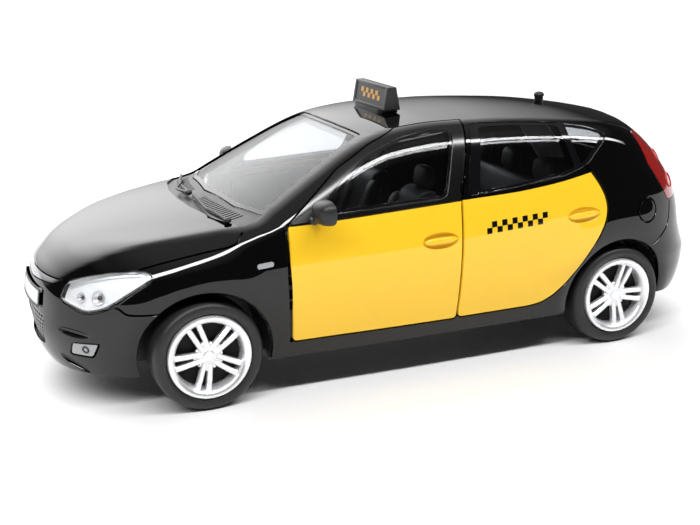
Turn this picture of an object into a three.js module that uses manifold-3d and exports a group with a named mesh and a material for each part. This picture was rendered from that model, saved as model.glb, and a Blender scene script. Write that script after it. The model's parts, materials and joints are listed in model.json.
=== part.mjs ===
// A die-cast collector model of a five-door hatchback taxi, 1:36.
// Millimetres, +Z up, nose towards -X, the car's left side towards -Y, tyres standing on Z = 0.
// The body is one smooth surface F(x, y, z) = 0, made from the profile curves below. Every body panel,
// window and lamp is a slice between two offsets of that surface, cut to its own outline.

import * as THREE from 'three';
import { mergeVertices } from 'three/addons/utils/BufferGeometryUtils.js';
import Module from 'manifold-3d';

const wasm = await Module();
wasm.setup();

// ---- Driving dimensions ----

const WHEELBASE = 73.6;
const TYRE_R = 8.7;
const FRONT_AXLE_X = -35.5;
const REAR_AXLE_X = FRONT_AXLE_X + WHEELBASE;
const AXLE_R = 1;
const AXLE_PLAY = 0.09;
const AXLE_Z = TYRE_R;
const HALF_W = 24.6; // widest half width of the body, without mirrors
const WALL = 1.1; // thickness of the cast body wall
const SHUT_GAP = 0.35; // gap round an opening door
const FIT_GAP = 0.1; // gap between a fixed insert and its opening
const GLASS_T = 0.8;
const GLASS_CORNER = 1.2; // rounding of the window corners
const DOOR_CORNER = 1.5;
const DOOR_TOP_Y = 14.3; // the doors' upper edge runs along the roof here
const GLASS_TOP_Y = 15.5;
const LAMP_Y = 11.7; // inner ends of the headlights
const TAIL_LAMP_Y = 17;
const TYRE_Y = 20.4; // middle of a tyre
const TYRE_W = 6.2;
const ARCH_R = 10.2;
const WELL_WALL = 0.7;
const WELL_INNER_Y = 13.2;
const BASE_Z = 6.2; // underside of the base plate
const BASE_T = 1.2;
const FLOOR_Z = BASE_Z + BASE_T + FIT_GAP; // underside of the interior tub
const HINGE_X = -23.7;
const HINGE_Y = 21.9;
const HINGE_PIN_R = 0.4;
const FRONT_SCREW_X = -52;
const REAR_SCREW_X = 52.5;
const SPINE_X = 34; // the body surface is sampled outwards from a spine between -SPINE_X and SPINE_X
const SPINE_Z = 17;
const FAR = 70; // longer than half the car
const SIDES = [-1, 1]; // left and right
const DOOR_HANDLE_X = 2.8;
const DOOR_HANDLE_Z = 22.7;
const REAR_HANDLE_X = 29.7;
const REAR_HANDLE_Z = 24.2;
const SIGN_X = 2.5;
const SIGN_Z = 41.3;
const ANTENNA_X = 35.3;
const WIPER_LIFT = 0.6;

// ---- Profile curves: monotone cubics through a few points ----

function curve(...points) {
  const x = points.map((p) => p[0]);
  const v = points.map((p) => p[1]);
  const last = x.length - 1;
  const chord = x.slice(1).map((xi, i) => (v[i + 1] - v[i]) / (xi - x[i]));
  const slope = x.map((xi, i) => {
    if (i === 0) return chord[0];
    if (i === last) return chord[last - 1];
    if (chord[i - 1] * chord[i] <= 0) return 0;
    const before = xi - x[i - 1];
    const after = x[i + 1] - xi;
    const mean = (chord[i - 1] * after + chord[i] * before) / (before + after);
    const most = 3 * Math.min(Math.abs(chord[i - 1]), Math.abs(chord[i]));
    return Math.sign(mean) * Math.min(Math.abs(mean), most);
  });
  return (at) => {
    if (at <= x[0]) return v[0] + (at - x[0]) * slope[0];
    if (at >= x[last]) return v[last] + (at - x[last]) * slope[last];
    const i = x.findIndex((xi) => xi > at) - 1;
    const h = x[i + 1] - x[i];
    const t = (at - x[i]) / h;
    const u = 1 - t;
    return (
      (1 + 2 * t) * u * u * v[i] + t * u * u * h * slope[i]
      + t * t * (3 - 2 * t) * v[i + 1] - t * t * u * h * slope[i + 1]
    );
  };
}

// height of the centre line over the whole length
const topLine = curve(
  [-59.3, 16.5], [-58, 20], [-55.5, 22.6], [-50, 25], [-42, 27], [-36, 28.1], [-31.5, 28.8], [-29, 29.5],
  [-26, 31.1], [-18, 35.3], [-11, 38.5], [-6.5, 39.9], [-1, 40.7], [6, 41.1], [15, 41.1], [25, 40.8],
  [35, 40], [44, 38.6], [50, 37.2],
);
// nose and tail, seen from the side
const noseLine = curve(
  [4, -55.6], [6, -57], [9, -58.2], [13, -59], [17, -59], [20, -58], [24, -55], [30, -48],
);
const tailLine = curve(
  [5, 56], [8, 58.4], [11, 59.3], [14.3, 59.5], [16.5, 58.6], [19, 57.6], [23, 56.6], [26, 55.6], [28, 54.6],
  [31, 52.3], [34, 49.6], [38, 46.1], [42, 42.3],
);
// fall of hood and roof from the centre line to the sides, and how far their lines bow forwards
const crown = curve([-59, 0.6], [-45, 1.2], [-30, 1.4], [-22, 1.8], [-10, 2.4], [20, 2.4], [50, 2.2]);
const bow = curve([-59, 5], [-52, 5.5], [-42, 4.5], [-28, 5.5], [-8, 5], [4, 3], [20, 0], [40, -2], [50, -4]);
// half width in plan, and how the side curves in above and below
const halfPlan = curve(
  [-60, 23.2], [-36, 24.1], [-18, 24.3], [0, HALF_W], [20, HALF_W], [37, 24.3], [60, 23.4],
);
const beltLine = curve([-60, 23.5], [-25, 27], [7, 28.4], [20, 29.6], [32, 31.2], [50, 33]);
const sideCurve = curve(
  [3, -2.3], [6, -1.6], [9, -0.9], [13, -0.25], [17, 0], [20, -0.15], [23, -0.7], [26, -1.5],
);
// crease along each side of the hood, and how steeply the surface falls outside it
const hoodCrease = curve([-59, 6], [-55, 10.5], [-48, 14.5], [-40, 17], [-30, 19.3], [-20, 21]);
const hoodFall = curve([-60, 0.45], [-50, 0.5], [-32, 0.4], [-26, 0], [-20, 0]);

const TUMBLEHOME = 0.42; // inward lean of the windows per millimetre of height
const NOSE_POWER = 2.3;
const TAIL_POWER = 3.4;
const NOSE_FROM = -28;
const TAIL_FROM = 34;
const SHOULDER_BLEND = 3.5;

function halfWidth(x, z) {
  const belt = beltLine(x);
  const level = z < belt ? 3 + ((z - 3) * 23) / (belt - 3) : 26;
  const above = Math.max(z - belt, 0);
  return Math.max(halfPlan(x) + sideCurve(level) - TUMBLEHOME * above - 0.012 * above * above, 3);
}

// distance-like field, negative inside the body
function field(x, y, z) {
  const across = Math.abs(y) / halfWidth(x, z);
  const front = x < 0;
  const reach = front
    ? (NOSE_FROM - x) / (NOSE_FROM - noseLine(z))
    : (x - TAIL_FROM) / (tailLine(z) - TAIL_FROM);
  const power = front ? NOSE_POWER : TAIL_POWER;
  const plan = reach > 0 ? (across ** power + reach ** power) ** (1 / power) : across;
  const side = (plan - 1) * HALF_W;
  const q = (y / HALF_W) ** 2;
  const station = x - bow(x) * q;
  const beyond = Math.abs(y) - hoodCrease(x);
  const fall = hoodFall(x) * 0.5 * (beyond + Math.sqrt(beyond * beyond + 0.5));
  const slope = topLine(station + 0.5) - topLine(station - 0.5);
  const top = (z - topLine(station) + crown(x) * q + fall) / Math.hypot(1, slope);
  const mix = Math.max(SHOULDER_BLEND - Math.abs(side - top), 0) / SHOULDER_BLEND;
  return Math.max(side, top) + (mix * mix * SHOULDER_BLEND) / 4;
}

// ---- Solids ----

// a closed geometry as a solid for joining and cutting
function solid(geometry) {
  const bare = geometry.clone();
  bare.deleteAttribute('normal');
  bare.deleteAttribute('uv');
  const merged = mergeVertices(bare, 1e-4);
  return new wasm.Manifold(
    new wasm.Mesh({
      numProp: 3,
      vertProperties: new Float32Array(merged.attributes.position.array),
      triVerts: new Uint32Array(merged.index.array),
    }),
  );
}

function geometryOf(shape) {
  const mesh = shape.getMesh();
  const geometry = new THREE.BufferGeometry();
  geometry.setAttribute('position', new THREE.BufferAttribute(new Float32Array(mesh.vertProperties), 3));
  geometry.setIndex(new THREE.BufferAttribute(new Uint32Array(mesh.triVerts), 1));
  geometry.computeVertexNormals();
  return geometry;
}

const join = (first, ...others) => others.reduce((whole, piece) => whole.add(piece), first);
const cut = (first, ...others) => others.reduce((whole, piece) => whole.subtract(piece), first);

function box(x0, x1, y0, y1, z0, z1) {
  const geometry = new THREE.BoxGeometry(x1 - x0, y1 - y0, z1 - z0);
  return solid(geometry.translate((x0 + x1) / 2, (y0 + y1) / 2, (z0 + z1) / 2));
}

// rods along Y and Z
function rodY(radius, x, z, y0, y1, sides = 24) {
  const geometry = new THREE.CylinderGeometry(radius, radius, y1 - y0, sides);
  return solid(geometry.translate(x, (y0 + y1) / 2, z));
}

function rodZ(radius, x, y, z0, z1, sides = 12) {
  const geometry = new THREE.CylinderGeometry(radius, radius, z1 - z0, sides);
  return solid(geometry.rotateX(Math.PI / 2).translate(x, y, (z0 + z1) / 2));
}

// outline with its corners rounded by the radius
function outline(points, radius) {
  const shape = new THREE.Shape();
  points.forEach((point, i) => {
    const corner = new THREE.Vector2(...point);
    const before = new THREE.Vector2(...points[(i + points.length - 1) % points.length]);
    const after = new THREE.Vector2(...points[(i + 1) % points.length]);
    const reach = (neighbour) => Math.min(radius, neighbour.length() / 2.2);
    const enter = corner.clone().add(before.sub(corner).clampLength(0, reach(before)));
    const leave = corner.clone().add(after.sub(corner).clampLength(0, reach(after)));
    if (i === 0) shape.moveTo(enter.x, enter.y);
    else shape.lineTo(enter.x, enter.y);
    if (radius > 0) shape.quadraticCurveTo(corner.x, corner.y, leave.x, leave.y);
  });
  shape.closePath();
  return shape;
}

// the same outline moved inwards by the gap; the points run anticlockwise
function inset(points, gap) {
  return points.map((point, i) => {
    const corner = new THREE.Vector2(...point);
    const last = new THREE.Vector2(...points[(i + points.length - 1) % points.length]);
    const before = corner.clone().sub(last).normalize();
    const after = new THREE.Vector2(...points[(i + 1) % points.length]).sub(corner).normalize();
    const inward = new THREE.Vector2(-before.y - after.y, before.x + after.x);
    const scale = gap / (1 + before.dot(after));
    return [corner.x + inward.x * scale, corner.y + inward.y * scale];
  });
}

const CORNER_STEPS = 2;

function extrude(shape, depth) {
  return new THREE.ExtrudeGeometry(shape, { depth, bevelEnabled: false, curveSegments: CORNER_STEPS });
}

// outline in X and Z, pushed along Y; side is -1 on the left and 1 on the right
function sidePrism(points, side, y0, y1, radius = 0) {
  const from = side < 0 ? -y1 : y0;
  const geometry = extrude(outline(points, radius), y1 - y0);
  return solid(geometry.rotateX(Math.PI / 2).translate(0, from + y1 - y0, 0));
}

// outline in Y and Z, pushed along X
function endPrism(points, x0, x1, radius = 0) {
  const turn = new THREE.Matrix4().makeBasis(
    new THREE.Vector3(0, 1, 0),
    new THREE.Vector3(0, 0, 1),
    new THREE.Vector3(1, 0, 0),
  );
  return solid(extrude(outline(points, radius), x1 - x0).applyMatrix4(turn).translate(x0, 0, 0));
}

// outline in X and Y, pushed along Z
function planPrism(points, z0, z1, radius = 0) {
  return solid(extrude(outline(points, radius), z1 - z0).translate(0, 0, z0));
}

// half an outline that starts and ends on the middle line, made whole by mirroring one coordinate
const PLAN = 1;
const END = 0;

function mirrored(half, sideways) {
  const other = half.slice(1, -1).toReversed();
  return [...half, ...other.map((point) => point.map((value, k) => (k === sideways ? -value : value)))];
}

// ---- The body surface as a closed mesh at an offset ----

const MID_RINGS = 10;
const CAP_RINGS = 6;
const RAYS = 32;
const UNDER = 1; // the surface is closed off flat at this height, below every piece cut from it
const BISECTIONS = 24;

function surfacePoint(ox, dx, dy, dz, offset) {
  let near = 0;
  let far = dz < 0 ? Math.min(FAR, (UNDER - SPINE_Z) / dz) : FAR;
  for (let i = 0; i < BISECTIONS; i += 1) {
    const t = (near + far) / 2;
    if (field(ox + dx * t, dy * t, SPINE_Z + dz * t) < offset) near = t;
    else far = t;
  }
  return [ox + dx * far, dy * far, SPINE_Z + dz * far];
}

function skin(offset) {
  const rings = [];
  for (let i = 1; i <= CAP_RINGS; i += 1) rings.push([-SPINE_X, (i / CAP_RINGS) * (Math.PI / 2), -1]);
  for (let i = 1; i < MID_RINGS; i += 1) {
    rings.push([-SPINE_X + (2 * SPINE_X * i) / MID_RINGS, Math.PI / 2, 1]);
  }
  for (let i = CAP_RINGS; i >= 1; i -= 1) rings.push([SPINE_X, (i / CAP_RINGS) * (Math.PI / 2), 1]);
  const points = [surfacePoint(-SPINE_X, -1, 0, 0, offset)];
  for (const [x, angle, way] of rings) {
    for (let j = 0; j < RAYS; j += 1) {
      const turn = (2 * Math.PI * j) / RAYS;
      const spread = Math.sin(angle);
      const direction = [way * Math.cos(angle), -spread * Math.sin(turn), spread * Math.cos(turn)];
      points.push(surfacePoint(x, ...direction, offset));
    }
  }
  points.push(surfacePoint(SPINE_X, 1, 0, 0, offset));
  const index = [];
  const last = points.length - 1;
  for (let j = 0; j < RAYS; j += 1) {
    const next = (j + 1) % RAYS;
    index.push(0, 1 + next, 1 + j);
    for (let r = 0; r < rings.length - 1; r += 1) {
      const a = 1 + r * RAYS;
      const b = a + RAYS;
      index.push(a + j, b + next, b + j, a + j, a + next, b + next);
    }
    const end = 1 + (rings.length - 1) * RAYS;
    index.push(end + j, end + next, last);
  }
  const geometry = new THREE.BufferGeometry();
  geometry.setAttribute('position', new THREE.Float32BufferAttribute(points.flat(), 3));
  geometry.setIndex(index);
  return solid(geometry);
}

// what lies between two offsets of the body surface
const layer = (outer, inner) => skin(outer).subtract(skin(inner));

// ---- Outlines on the body, anticlockwise seen against the axis they are pushed along ----

// side outlines, X and Z
const BELOW_HEM = [[-65, 0], [65, 0], [65, 7.4], [28, 7], [-24, 6.8], [-45, 5.3], [-65, 5]];
const DOOR = [
  [-22.2, 9.2], [6.3, 9.1], [6.7, 18.2], [7.3, 28.3], [9.3, 34.6], [11.6, 41.5], [3, 41.5], [-1, 39.7],
  [-6.2, 37.9], [-12.4, 34.8], [-22.2, 27.6], [-22.5, 20],
];
const DOOR_GLASS = [
  [-15.4, 28.6], [4.9, 29.3], [8.6, 39.2], [4.6, 39.3], [-0.7, 38.6], [-6.9, 36.5], [-11.8, 33.4], [-15.4, 30.7],
];
const DOOR_CARD = [[-17.4, 10.4], [5, 10.3], [5.4, 18.2], [6, 27.4], [-17.4, 26.4]];
const REAR_GLASS = [
  [8.5, 29.3], [15.6, 29.8], [26.8, 31], [31.3, 32.4], [36.6, 36.8], [33.3, 38.1], [26.5, 39.2], [18.5, 39.7],
  [12, 39.8],
];
const HEADLIGHT = [
  [-55.6, 17.4], [-52.4, 15.9], [-50, 16.7], [-46.4, 19.2], [-42.8, 21.4], [-43.4, 22.3], [-48.5, 21.9],
  [-52.2, 20.9], [-54.6, 19.6],
];
const FOG_LAMP = [[-54.6, 8.4], [-51.5, 8.4], [-50.7, 11.1], [-54.4, 10.8]];
const TAIL_LAMP = [
  [48.7, 24.4], [52.6, 24.9], [53.4, 28.2], [50.6, 32.6], [46.2, 36.3], [42.4, 36.6], [43.8, 31.6], [46.8, 27.4],
];
const REPEATER = [[-27.8, 21.7], [-25, 21.9], [-25, 22.8], [-27.8, 22.6]];
const SEAT_SIDE = [
  [-12.5, 9], [2, 8.4], [3.8, 11], [8.4, 27.8], [8.2, 31.9], [6.4, 32.1], [5.6, 28.2], [4.4, 27.6], [-0.2, 13.6],
  [-12.5, 14.6], [-14, 12.5],
];
const BENCH_SIDE = [
  [11, 8.6], [25.8, 8.6], [26.6, 15], [30.6, 27.2], [44, 28], [44, 28.8], [28, 28.6], [22.6, 14.4], [12, 15.4],
];
const DASH_SIDE = [[-25.6, 20], [-21.5, 19.2], [-19.8, 22], [-20.2, 24.6], [-22.4, 25.6], [-25.6, 25.4]];
const PEDESTAL_SIDE = [[-25, 8.9], [-17, 8.9], [-21.8, 15], [-22.4, 20.5], [-25, 20.5]];

// plan outlines, X and Y, and end outlines, Y and Z: half of each
const WINDSCREEN_FOOT = [[-28.8, 0], [-27.5, -12], [-25, -18.8]];
const WINDSCREEN_HEAD = [[-6, -13.5], [-7, -6], [-7.3, 0]];
const COWL_FRONT = [[-33.6, 0], [-33.2, -6.7], [-31.6, -14.4], [-28.7, -20.2]];
const GRILLE = [[0, 18.3], [10.6, 19.3], [11.2, 20.2], [0, 20]];
const INTAKE = [[0, 8.2], [6.5, 8.6], [8.6, 14.2], [0, 14.4]];
const TAILGATE_GLASS = [[0, 27.8], [16.4, 28.4], [14, 35.6], [0, 36.6]];
const FRONT_PLATE = [[0, 14.9], [7.2, 14.9], [7.2, 17.9], [0, 17.9]];
const REAR_PLATE = [[0, 19.4], [7.2, 19.4], [7.2, 22.4], [0, 22.4]];
const PLATE_T = 0.5;

// ---- Parts, each one function returning a solid ----

// y range of the space on one side of the car, from the near to the far distance
const span = (side, near, far) => (side < 0 ? [-far, -near] : [near, far]);

// a slice of the body wall inside a side outline
function sideSlice(points, side, outer, inner, radius = 0, near = 9) {
  return layer(outer, inner).intersect(sidePrism(points, side, near, FAR, radius));
}

// screw posts cast into the body
function posts() {
  const radius = 1.7;
  const screws = [FRONT_SCREW_X, REAR_SCREW_X];
  const web = box(REAR_SCREW_X, FAR, -0.6, 0.6, FLOOR_Z, 16);
  const front = rodZ(radius, FRONT_SCREW_X, 0, FLOOR_Z, 30);
  const rear = rodZ(radius, REAR_SCREW_X, 0, FLOOR_Z, 16);
  const whole = join(front, rear, web);
  const bores = screws.map((x) => rodZ(0.8, x, 0, FLOOR_Z - 1, FLOOR_Z + 5));
  return cut(whole, ...bores).intersect(skin(-WALL / 2));
}

// lugs inside the fender that hold a door's hinge pin
const LUG_LEVELS = [[11.6, 12.8], [15.5, 16.7], [19.6, 20.8]];

function hingeLugs(side) {
  const across = span(side, HINGE_Y - 1, FAR);
  const lugs = LUG_LEVELS.map(([z0, z1]) => box(HINGE_X - 1, HINGE_X + 0.9, ...across, z0, z1));
  const bore = rodZ(HINGE_PIN_R + 0.1, HINGE_X, side * HINGE_Y, 8, 24);
  return cut(join(...lugs), bore).intersect(skin(-WALL / 2));
}

function pullHandle(side, x, z) {
  const points = [[x - 3, z - 0.6], [x + 3, z - 0.45], [x + 3, z + 0.75], [x - 3, z + 0.6]];
  return sideSlice(points, side, 0.6, -WALL / 2, 0.7);
}

function bodyShell() {
  const opening = mirrored([...COWL_FRONT, WINDSCREEN_FOOT[2], ...WINDSCREEN_HEAD], PLAN);
  const windscreen = planPrism(opening, 24, 45);
  const ends = [
    endPrism(mirrored(GRILLE, END), -FAR, -50),
    endPrism(mirrored(INTAKE, END), -FAR, -50),
    endPrism(mirrored(TAILGATE_GLASS, END), 40, FAR, 1),
  ];
  const sides = SIDES.flatMap((side) => [
    sidePrism(DOOR, side, DOOR_TOP_Y, FAR, DOOR_CORNER),
    sidePrism(REAR_GLASS, side, GLASS_TOP_Y, FAR, GLASS_CORNER),
    sidePrism(HEADLIGHT, side, LAMP_Y, FAR),
    sidePrism(FOG_LAMP, side, 9, FAR),
    sidePrism(TAIL_LAMP, side, TAIL_LAMP_Y, FAR, 0.8),
    sidePrism(REPEATER, side, 20, FAR),
    rodY(ARCH_R, FRONT_AXLE_X, AXLE_Z, ...span(side, 14, FAR), 22),
    rodY(ARCH_R, REAR_AXLE_X, AXLE_Z, ...span(side, 14, FAR), 22),
  ]);
  const below = sidePrism(BELOW_HEM, 1, -FAR, FAR);
  const wall = cut(layer(0, -WALL), below, windscreen, ...ends, ...sides);
  const handles = SIDES.map((side) => pullHandle(side, REAR_HANDLE_X, REAR_HANDLE_Z));
  return join(wall, posts(), ...SIDES.map(hingeLugs), ...handles);
}

// a wheel well: half a drum, open outwards and downwards, with a hole for the axle
function well(x, side) {
  const drum = rodY(ARCH_R + WELL_WALL, x, AXLE_Z, ...span(side, WELL_INNER_Y, HALF_W), 22);
  const hollow = rodY(ARCH_R, x, AXLE_Z, ...span(side, WELL_INNER_Y + WELL_WALL, FAR), 22);
  return drum.subtract(hollow);
}

function chassisBase() {
  const plate = box(-FAR, FAR, -FAR / 2, FAR / 2, BASE_Z, BASE_Z + BASE_T);
  const wheels = [FRONT_AXLE_X, REAR_AXLE_X];
  const hollows = wheels.flatMap((x) =>
    SIDES.map((side) => rodY(ARCH_R, x, AXLE_Z, ...span(side, WELL_INNER_Y + WELL_WALL, FAR), 22)),
  );
  const wells = wheels.flatMap((x) => SIDES.map((side) => well(x, side)));
  const saddles = wheels.flatMap((x) =>
    SIDES.map((side) => box(x - 2.2, x + 2.2, ...span(side, 8, 10.5), BASE_Z, 10.6)),
  );
  const relief = [
    box(-46, -24, -5.5, 5.5, 5.6, BASE_Z + 0.5), // engine and gearbox
    box(-22, 24, -1.6, 1.6, 5.7, BASE_Z + 0.5), // exhaust tunnel
    box(45.4, 50.4, -9, 9, 5.6, BASE_Z + 0.5), // silencer
    box(12, 25, 4.5, 15, 5.7, BASE_Z + 0.5), // fuel tank
  ];
  const below = box(-FAR, FAR, -FAR / 2, FAR / 2, 0, BASE_Z);
  const body = join(plate, ...wells, ...saddles).intersect(skin(-WALL - FIT_GAP)).subtract(below);
  const bores = wheels.map((x) => rodY(AXLE_R + AXLE_PLAY, x, AXLE_Z, -WELL_INNER_Y - 1, WELL_INNER_Y + 1));
  const screws = [FRONT_SCREW_X, REAR_SCREW_X].map((x) => rodZ(0.95, x, 0, 0, 9));
  return cut(join(cut(body, ...hollows), ...relief), ...bores, ...screws);
}

// pan-head screw with a cross recess, driven up into a post
function screw(x) {
  const head = rodZ(1.7, x, 0, BASE_Z - 0.65, BASE_Z - 0.05, 16);
  const shank = rodZ(0.7, x, 0, BASE_Z - 0.2, FLOOR_Z + 4, 10);
  const slot = [0.9, 0.18].map((half, i) => {
    const other = [0.18, 0.9][i];
    return box(x - half, x + half, -other, other, BASE_Z - 1, BASE_Z - 0.35);
  });
  return cut(join(head, shank), ...slot);
}

// ---- Doors ----

// hooked arm from the hinge pin round the fender's edge to the door
function hingeArm(side, z0, z1) {
  const hook = [
    [-0.45, 0], [0.45, 0], [0.45, 1.6], [3.1, 1.6], [3.1, -1.6], [4, -1.6], [4, 2.5], [-0.45, 2.5],
  ];
  const placed = hook.map(([x, y]) => [HINGE_X + x, side * (HINGE_Y - y)]);
  const arm = planPrism(side < 0 ? placed : placed.toReversed(), z0, z1);
  const eye = rodZ(0.85, HINGE_X, side * HINGE_Y, z0, z1);
  const bore = rodZ(HINGE_PIN_R + 0.1, HINGE_X, side * HINGE_Y, 0, FAR);
  return cut(join(arm, eye), bore).intersect(skin(-WALL / 2));
}

const ARM_LEVELS = [[13.4, 14.8], [17.4, 18.8]];

function doorPanel(side) {
  const panel = sideSlice(inset(DOOR, SHUT_GAP), side, 0, -WALL, DOOR_CORNER, DOOR_TOP_Y + SHUT_GAP);
  const opening = sidePrism(DOOR_GLASS, side, GLASS_TOP_Y, FAR, GLASS_CORNER);
  // the front edge is cut back on its inner side, so that it clears the fender as the door swings
  const front = DOOR[0][0];
  const bevelled = [[front - 1, -23.9], [front + 0.4, -23.9], [front + 1.5, -22.2], [front - 1, -22.2]];
  const bevel = planPrism(
    side < 0 ? bevelled : bevelled.map(([x, y]) => [x, -y]).toReversed(),
    0,
    25.4,
  );
  const arms = ARM_LEVELS.map(([z0, z1]) => hingeArm(side, z0, z1));
  const handle = pullHandle(side, DOOR_HANDLE_X, DOOR_HANDLE_Z);
  return join(cut(panel, opening, bevel), ...arms, handle);
}

function doorCard(side) {
  const trim = sideSlice(DOOR_CARD, side, -WALL - FIT_GAP, -WALL - FIT_GAP - 0.8, 1);
  const rest = sidePrism([[-12, 19.4], [2, 19.8], [2, 21], [-12, 20.6]], side, 20.2, 23, 0.4);
  return join(trim, rest.intersect(skin(-WALL - FIT_GAP - 0.4)));
}

// mirror on a short stalk from the door's front corner
function mirror(side) {
  const housing = new THREE.SphereGeometry(1, 12, 8).scale(1.5, 2.9, 2.05).rotateZ(side * -0.2);
  const head = solid(housing.translate(-17.4, side * 25.3, 29.9));
  const glassCut = box(-16.6, -14, ...span(side, 21, 29), 27, 33);
  const stalk = box(-18.2, -16.8, ...span(side, 19, 24.5), 28.5, 29.5);
  return join(cut(head, glassCut), stalk).subtract(skin(FIT_GAP));
}

function mirrorGlass(side) {
  const outlineHere = [[2.2, 28.9], [2.6, 31], [-2, 31.2], [-2.3, 28.7]].map(([y, z]) => [side * 25.3 + y, z]);
  return endPrism(outlineHere.toReversed(), -16.5, -16.2, 0.7);
}

// ---- Windows and lamps ----

const GLASS_DEPTH = 0.15; // how far glass lies below the body surface

function windscreen() {
  const shape = inset(mirrored([...WINDSCREEN_FOOT, ...WINDSCREEN_HEAD], PLAN), FIT_GAP);
  return layer(-GLASS_DEPTH, -GLASS_DEPTH - GLASS_T).intersect(planPrism(shape, 24, 45));
}

function headlightLens(side) {
  return sideSlice(inset(HEADLIGHT, FIT_GAP), side, -0.05, -0.65, 0, LAMP_Y + FIT_GAP);
}

function headlightReflector(side) {
  return sideSlice(inset(HEADLIGHT, FIT_GAP), side, -1.3, -2.6, 0, LAMP_Y + FIT_GAP);
}

function cowl() {
  const shape = inset(mirrored([...COWL_FRONT, ...WINDSCREEN_FOOT.toReversed()], PLAN), FIT_GAP);
  return layer(-0.3, -0.3 - GLASS_T).intersect(planPrism(shape, 24, 45));
}

function tailgateGlass() {
  const shape = inset(mirrored(TAILGATE_GLASS, END), FIT_GAP);
  return layer(-GLASS_DEPTH, -GLASS_DEPTH - GLASS_T).intersect(endPrism(shape, 40, FAR, 1));
}

const sideGlass = (points, side) =>
  sideSlice(inset(points, FIT_GAP), side, -GLASS_DEPTH, -GLASS_DEPTH - GLASS_T, GLASS_CORNER, GLASS_TOP_Y + FIT_GAP);

function nosePiece(half, outer, inner) {
  const shape = inset(mirrored(half, END), FIT_GAP);
  return layer(outer, inner).intersect(endPrism(shape, -FAR, -50));
}

// number plate bent to the bumper
function plate(half, ...reach) {
  return layer(FIT_GAP + PLATE_T, FIT_GAP).intersect(endPrism(mirrored(half, END), ...reach));
}

// wiper blade and arm lying along the foot of the windscreen
function wiper(reach) {
  const route = new THREE.CatmullRomCurve3(
    reach.map(([x, y]) => {
      let z = 26;
      while (field(x, y, z) < WIPER_LIFT) z += 0.01;
      return new THREE.Vector3(x, y, z);
    }),
  );
  const section = new THREE.Shape().absarc(0, 0, 0.28, 0, 2 * Math.PI);
  const sweep = { extrudePath: route, steps: 10, curveSegments: 3, bevelEnabled: false };
  return solid(new THREE.ExtrudeGeometry(section, sweep));
}

// ---- Interior ----

function tub() {
  const halfWide = 19;
  const floor = box(-25.4, 26.6, -halfWide, halfWide, FLOOR_Z, FLOOR_Z + 0.8);
  const sill = (side) => box(-18.4, 26.6, ...span(side, halfWide - 0.8, halfWide), FLOOR_Z, FLOOR_Z + 4);
  const sills = SIDES.map(sill);
  const tunnel = box(-16.9, 10.8, -1.8, 1.8, FLOOR_Z, FLOOR_Z + 3);
  const clear = SIDES.flatMap((side) => [
    rodY(ARCH_R + WELL_WALL + FIT_GAP, FRONT_AXLE_X, AXLE_Z, ...span(side, WELL_INNER_Y - FIT_GAP, FAR), 22),
    rodY(ARCH_R + WELL_WALL + FIT_GAP, REAR_AXLE_X, AXLE_Z, ...span(side, WELL_INNER_Y - FIT_GAP, FAR), 22),
  ]);
  return cut(join(floor, tunnel, ...sills), ...clear);
}

const SEAT_HALF = 5.4;
const SEAT_Y = 9.4;

function frontSeat(side) {
  const width = span(side, SEAT_Y - SEAT_HALF, SEAT_Y + SEAT_HALF);
  const whole = sidePrism(SEAT_SIDE, side, SEAT_Y - SEAT_HALF, SEAT_Y + SEAT_HALF, 1.5);
  const aboveShoulders = SIDES.map((way) =>
    box(0, 12, ...(way < 0 ? [width[0] - 1, width[0] + 3] : [width[1] - 3, width[1] + 1]), 28.2, 34),
  );
  return cut(whole, ...aboveShoulders);
}

function rearBench() {
  const bench = sidePrism(BENCH_SIDE, 1, -17.6, 17.6, 0.8);
  const rest = [[28.6, 27.6], [30.6, 27.6], [31.4, 31.2], [30, 31.4]];
  const headrests = [-11, 0, 11].map((y) => sidePrism(rest, 1, y - 2.6, y + 2.6, 0.6));
  return join(bench, ...headrests);
}

function dashboard() {
  const top = sidePrism(DASH_SIDE, 1, -18.8, 18.8, 0.8);
  const pedestal = sidePrism(PEDESTAL_SIDE, 1, -6, 6, 0.5);
  const hood = sidePrism([[-22.5, 24.5], [-19.6, 24.5], [-20.4, 26.3], [-22.5, 26.5]], -1, 5.2, 13.2, 0.5);
  return join(top, pedestal, hood);
}

const WHEEL_TILT = 0.42;

function steeringWheel() {
  const ring = solid(new THREE.TorusGeometry(4.6, 0.45, 5, 18));
  const hub = solid(new THREE.CylinderGeometry(1.3, 1.5, 1.1, 12).rotateX(Math.PI / 2));
  const spokes = [90, 205, -25].map((angle) => {
    const bar = new THREE.BoxGeometry(4.4, 0.9, 0.5).translate(2.2, 0, 0);
    return solid(bar.rotateZ((angle * Math.PI) / 180 + Math.PI));
  });
  const column = solid(new THREE.CylinderGeometry(0.6, 0.6, 3, 10).rotateX(Math.PI / 2).translate(0, 0, -1.6));
  const turn = new THREE.Matrix4()
    .makeTranslation(-16.6, -SEAT_Y + 0.2, 22.8)
    .multiply(new THREE.Matrix4().makeRotationY(Math.PI / 2 - WHEEL_TILT))
    .multiply(new THREE.Matrix4().makeRotationZ(-Math.PI / 2));
  return solid(geometryOf(join(ring, hub, ...spokes, column)).applyMatrix4(turn));
}

// ---- Roof ----

function roofSign() {
  const profile = [
    [SIGN_X - 1.5, SIGN_Z], [SIGN_X + 1.5, SIGN_Z], [SIGN_X + 0.8, SIGN_Z + 3.9], [SIGN_X - 0.8, SIGN_Z + 3.9],
  ];
  return sidePrism(profile, 1, -6.9, 6.9, 0.3);
}

function signFoot() {
  const foot = planPrism(
    [[SIGN_X - 1.9, -5.4], [SIGN_X + 1.9, -5.4], [SIGN_X + 1.9, 5.4], [SIGN_X - 1.9, 5.4]],
    39,
    SIGN_Z - FIT_GAP / 2,
    0.8,
  );
  return foot.subtract(skin(FIT_GAP / 2));
}

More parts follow.
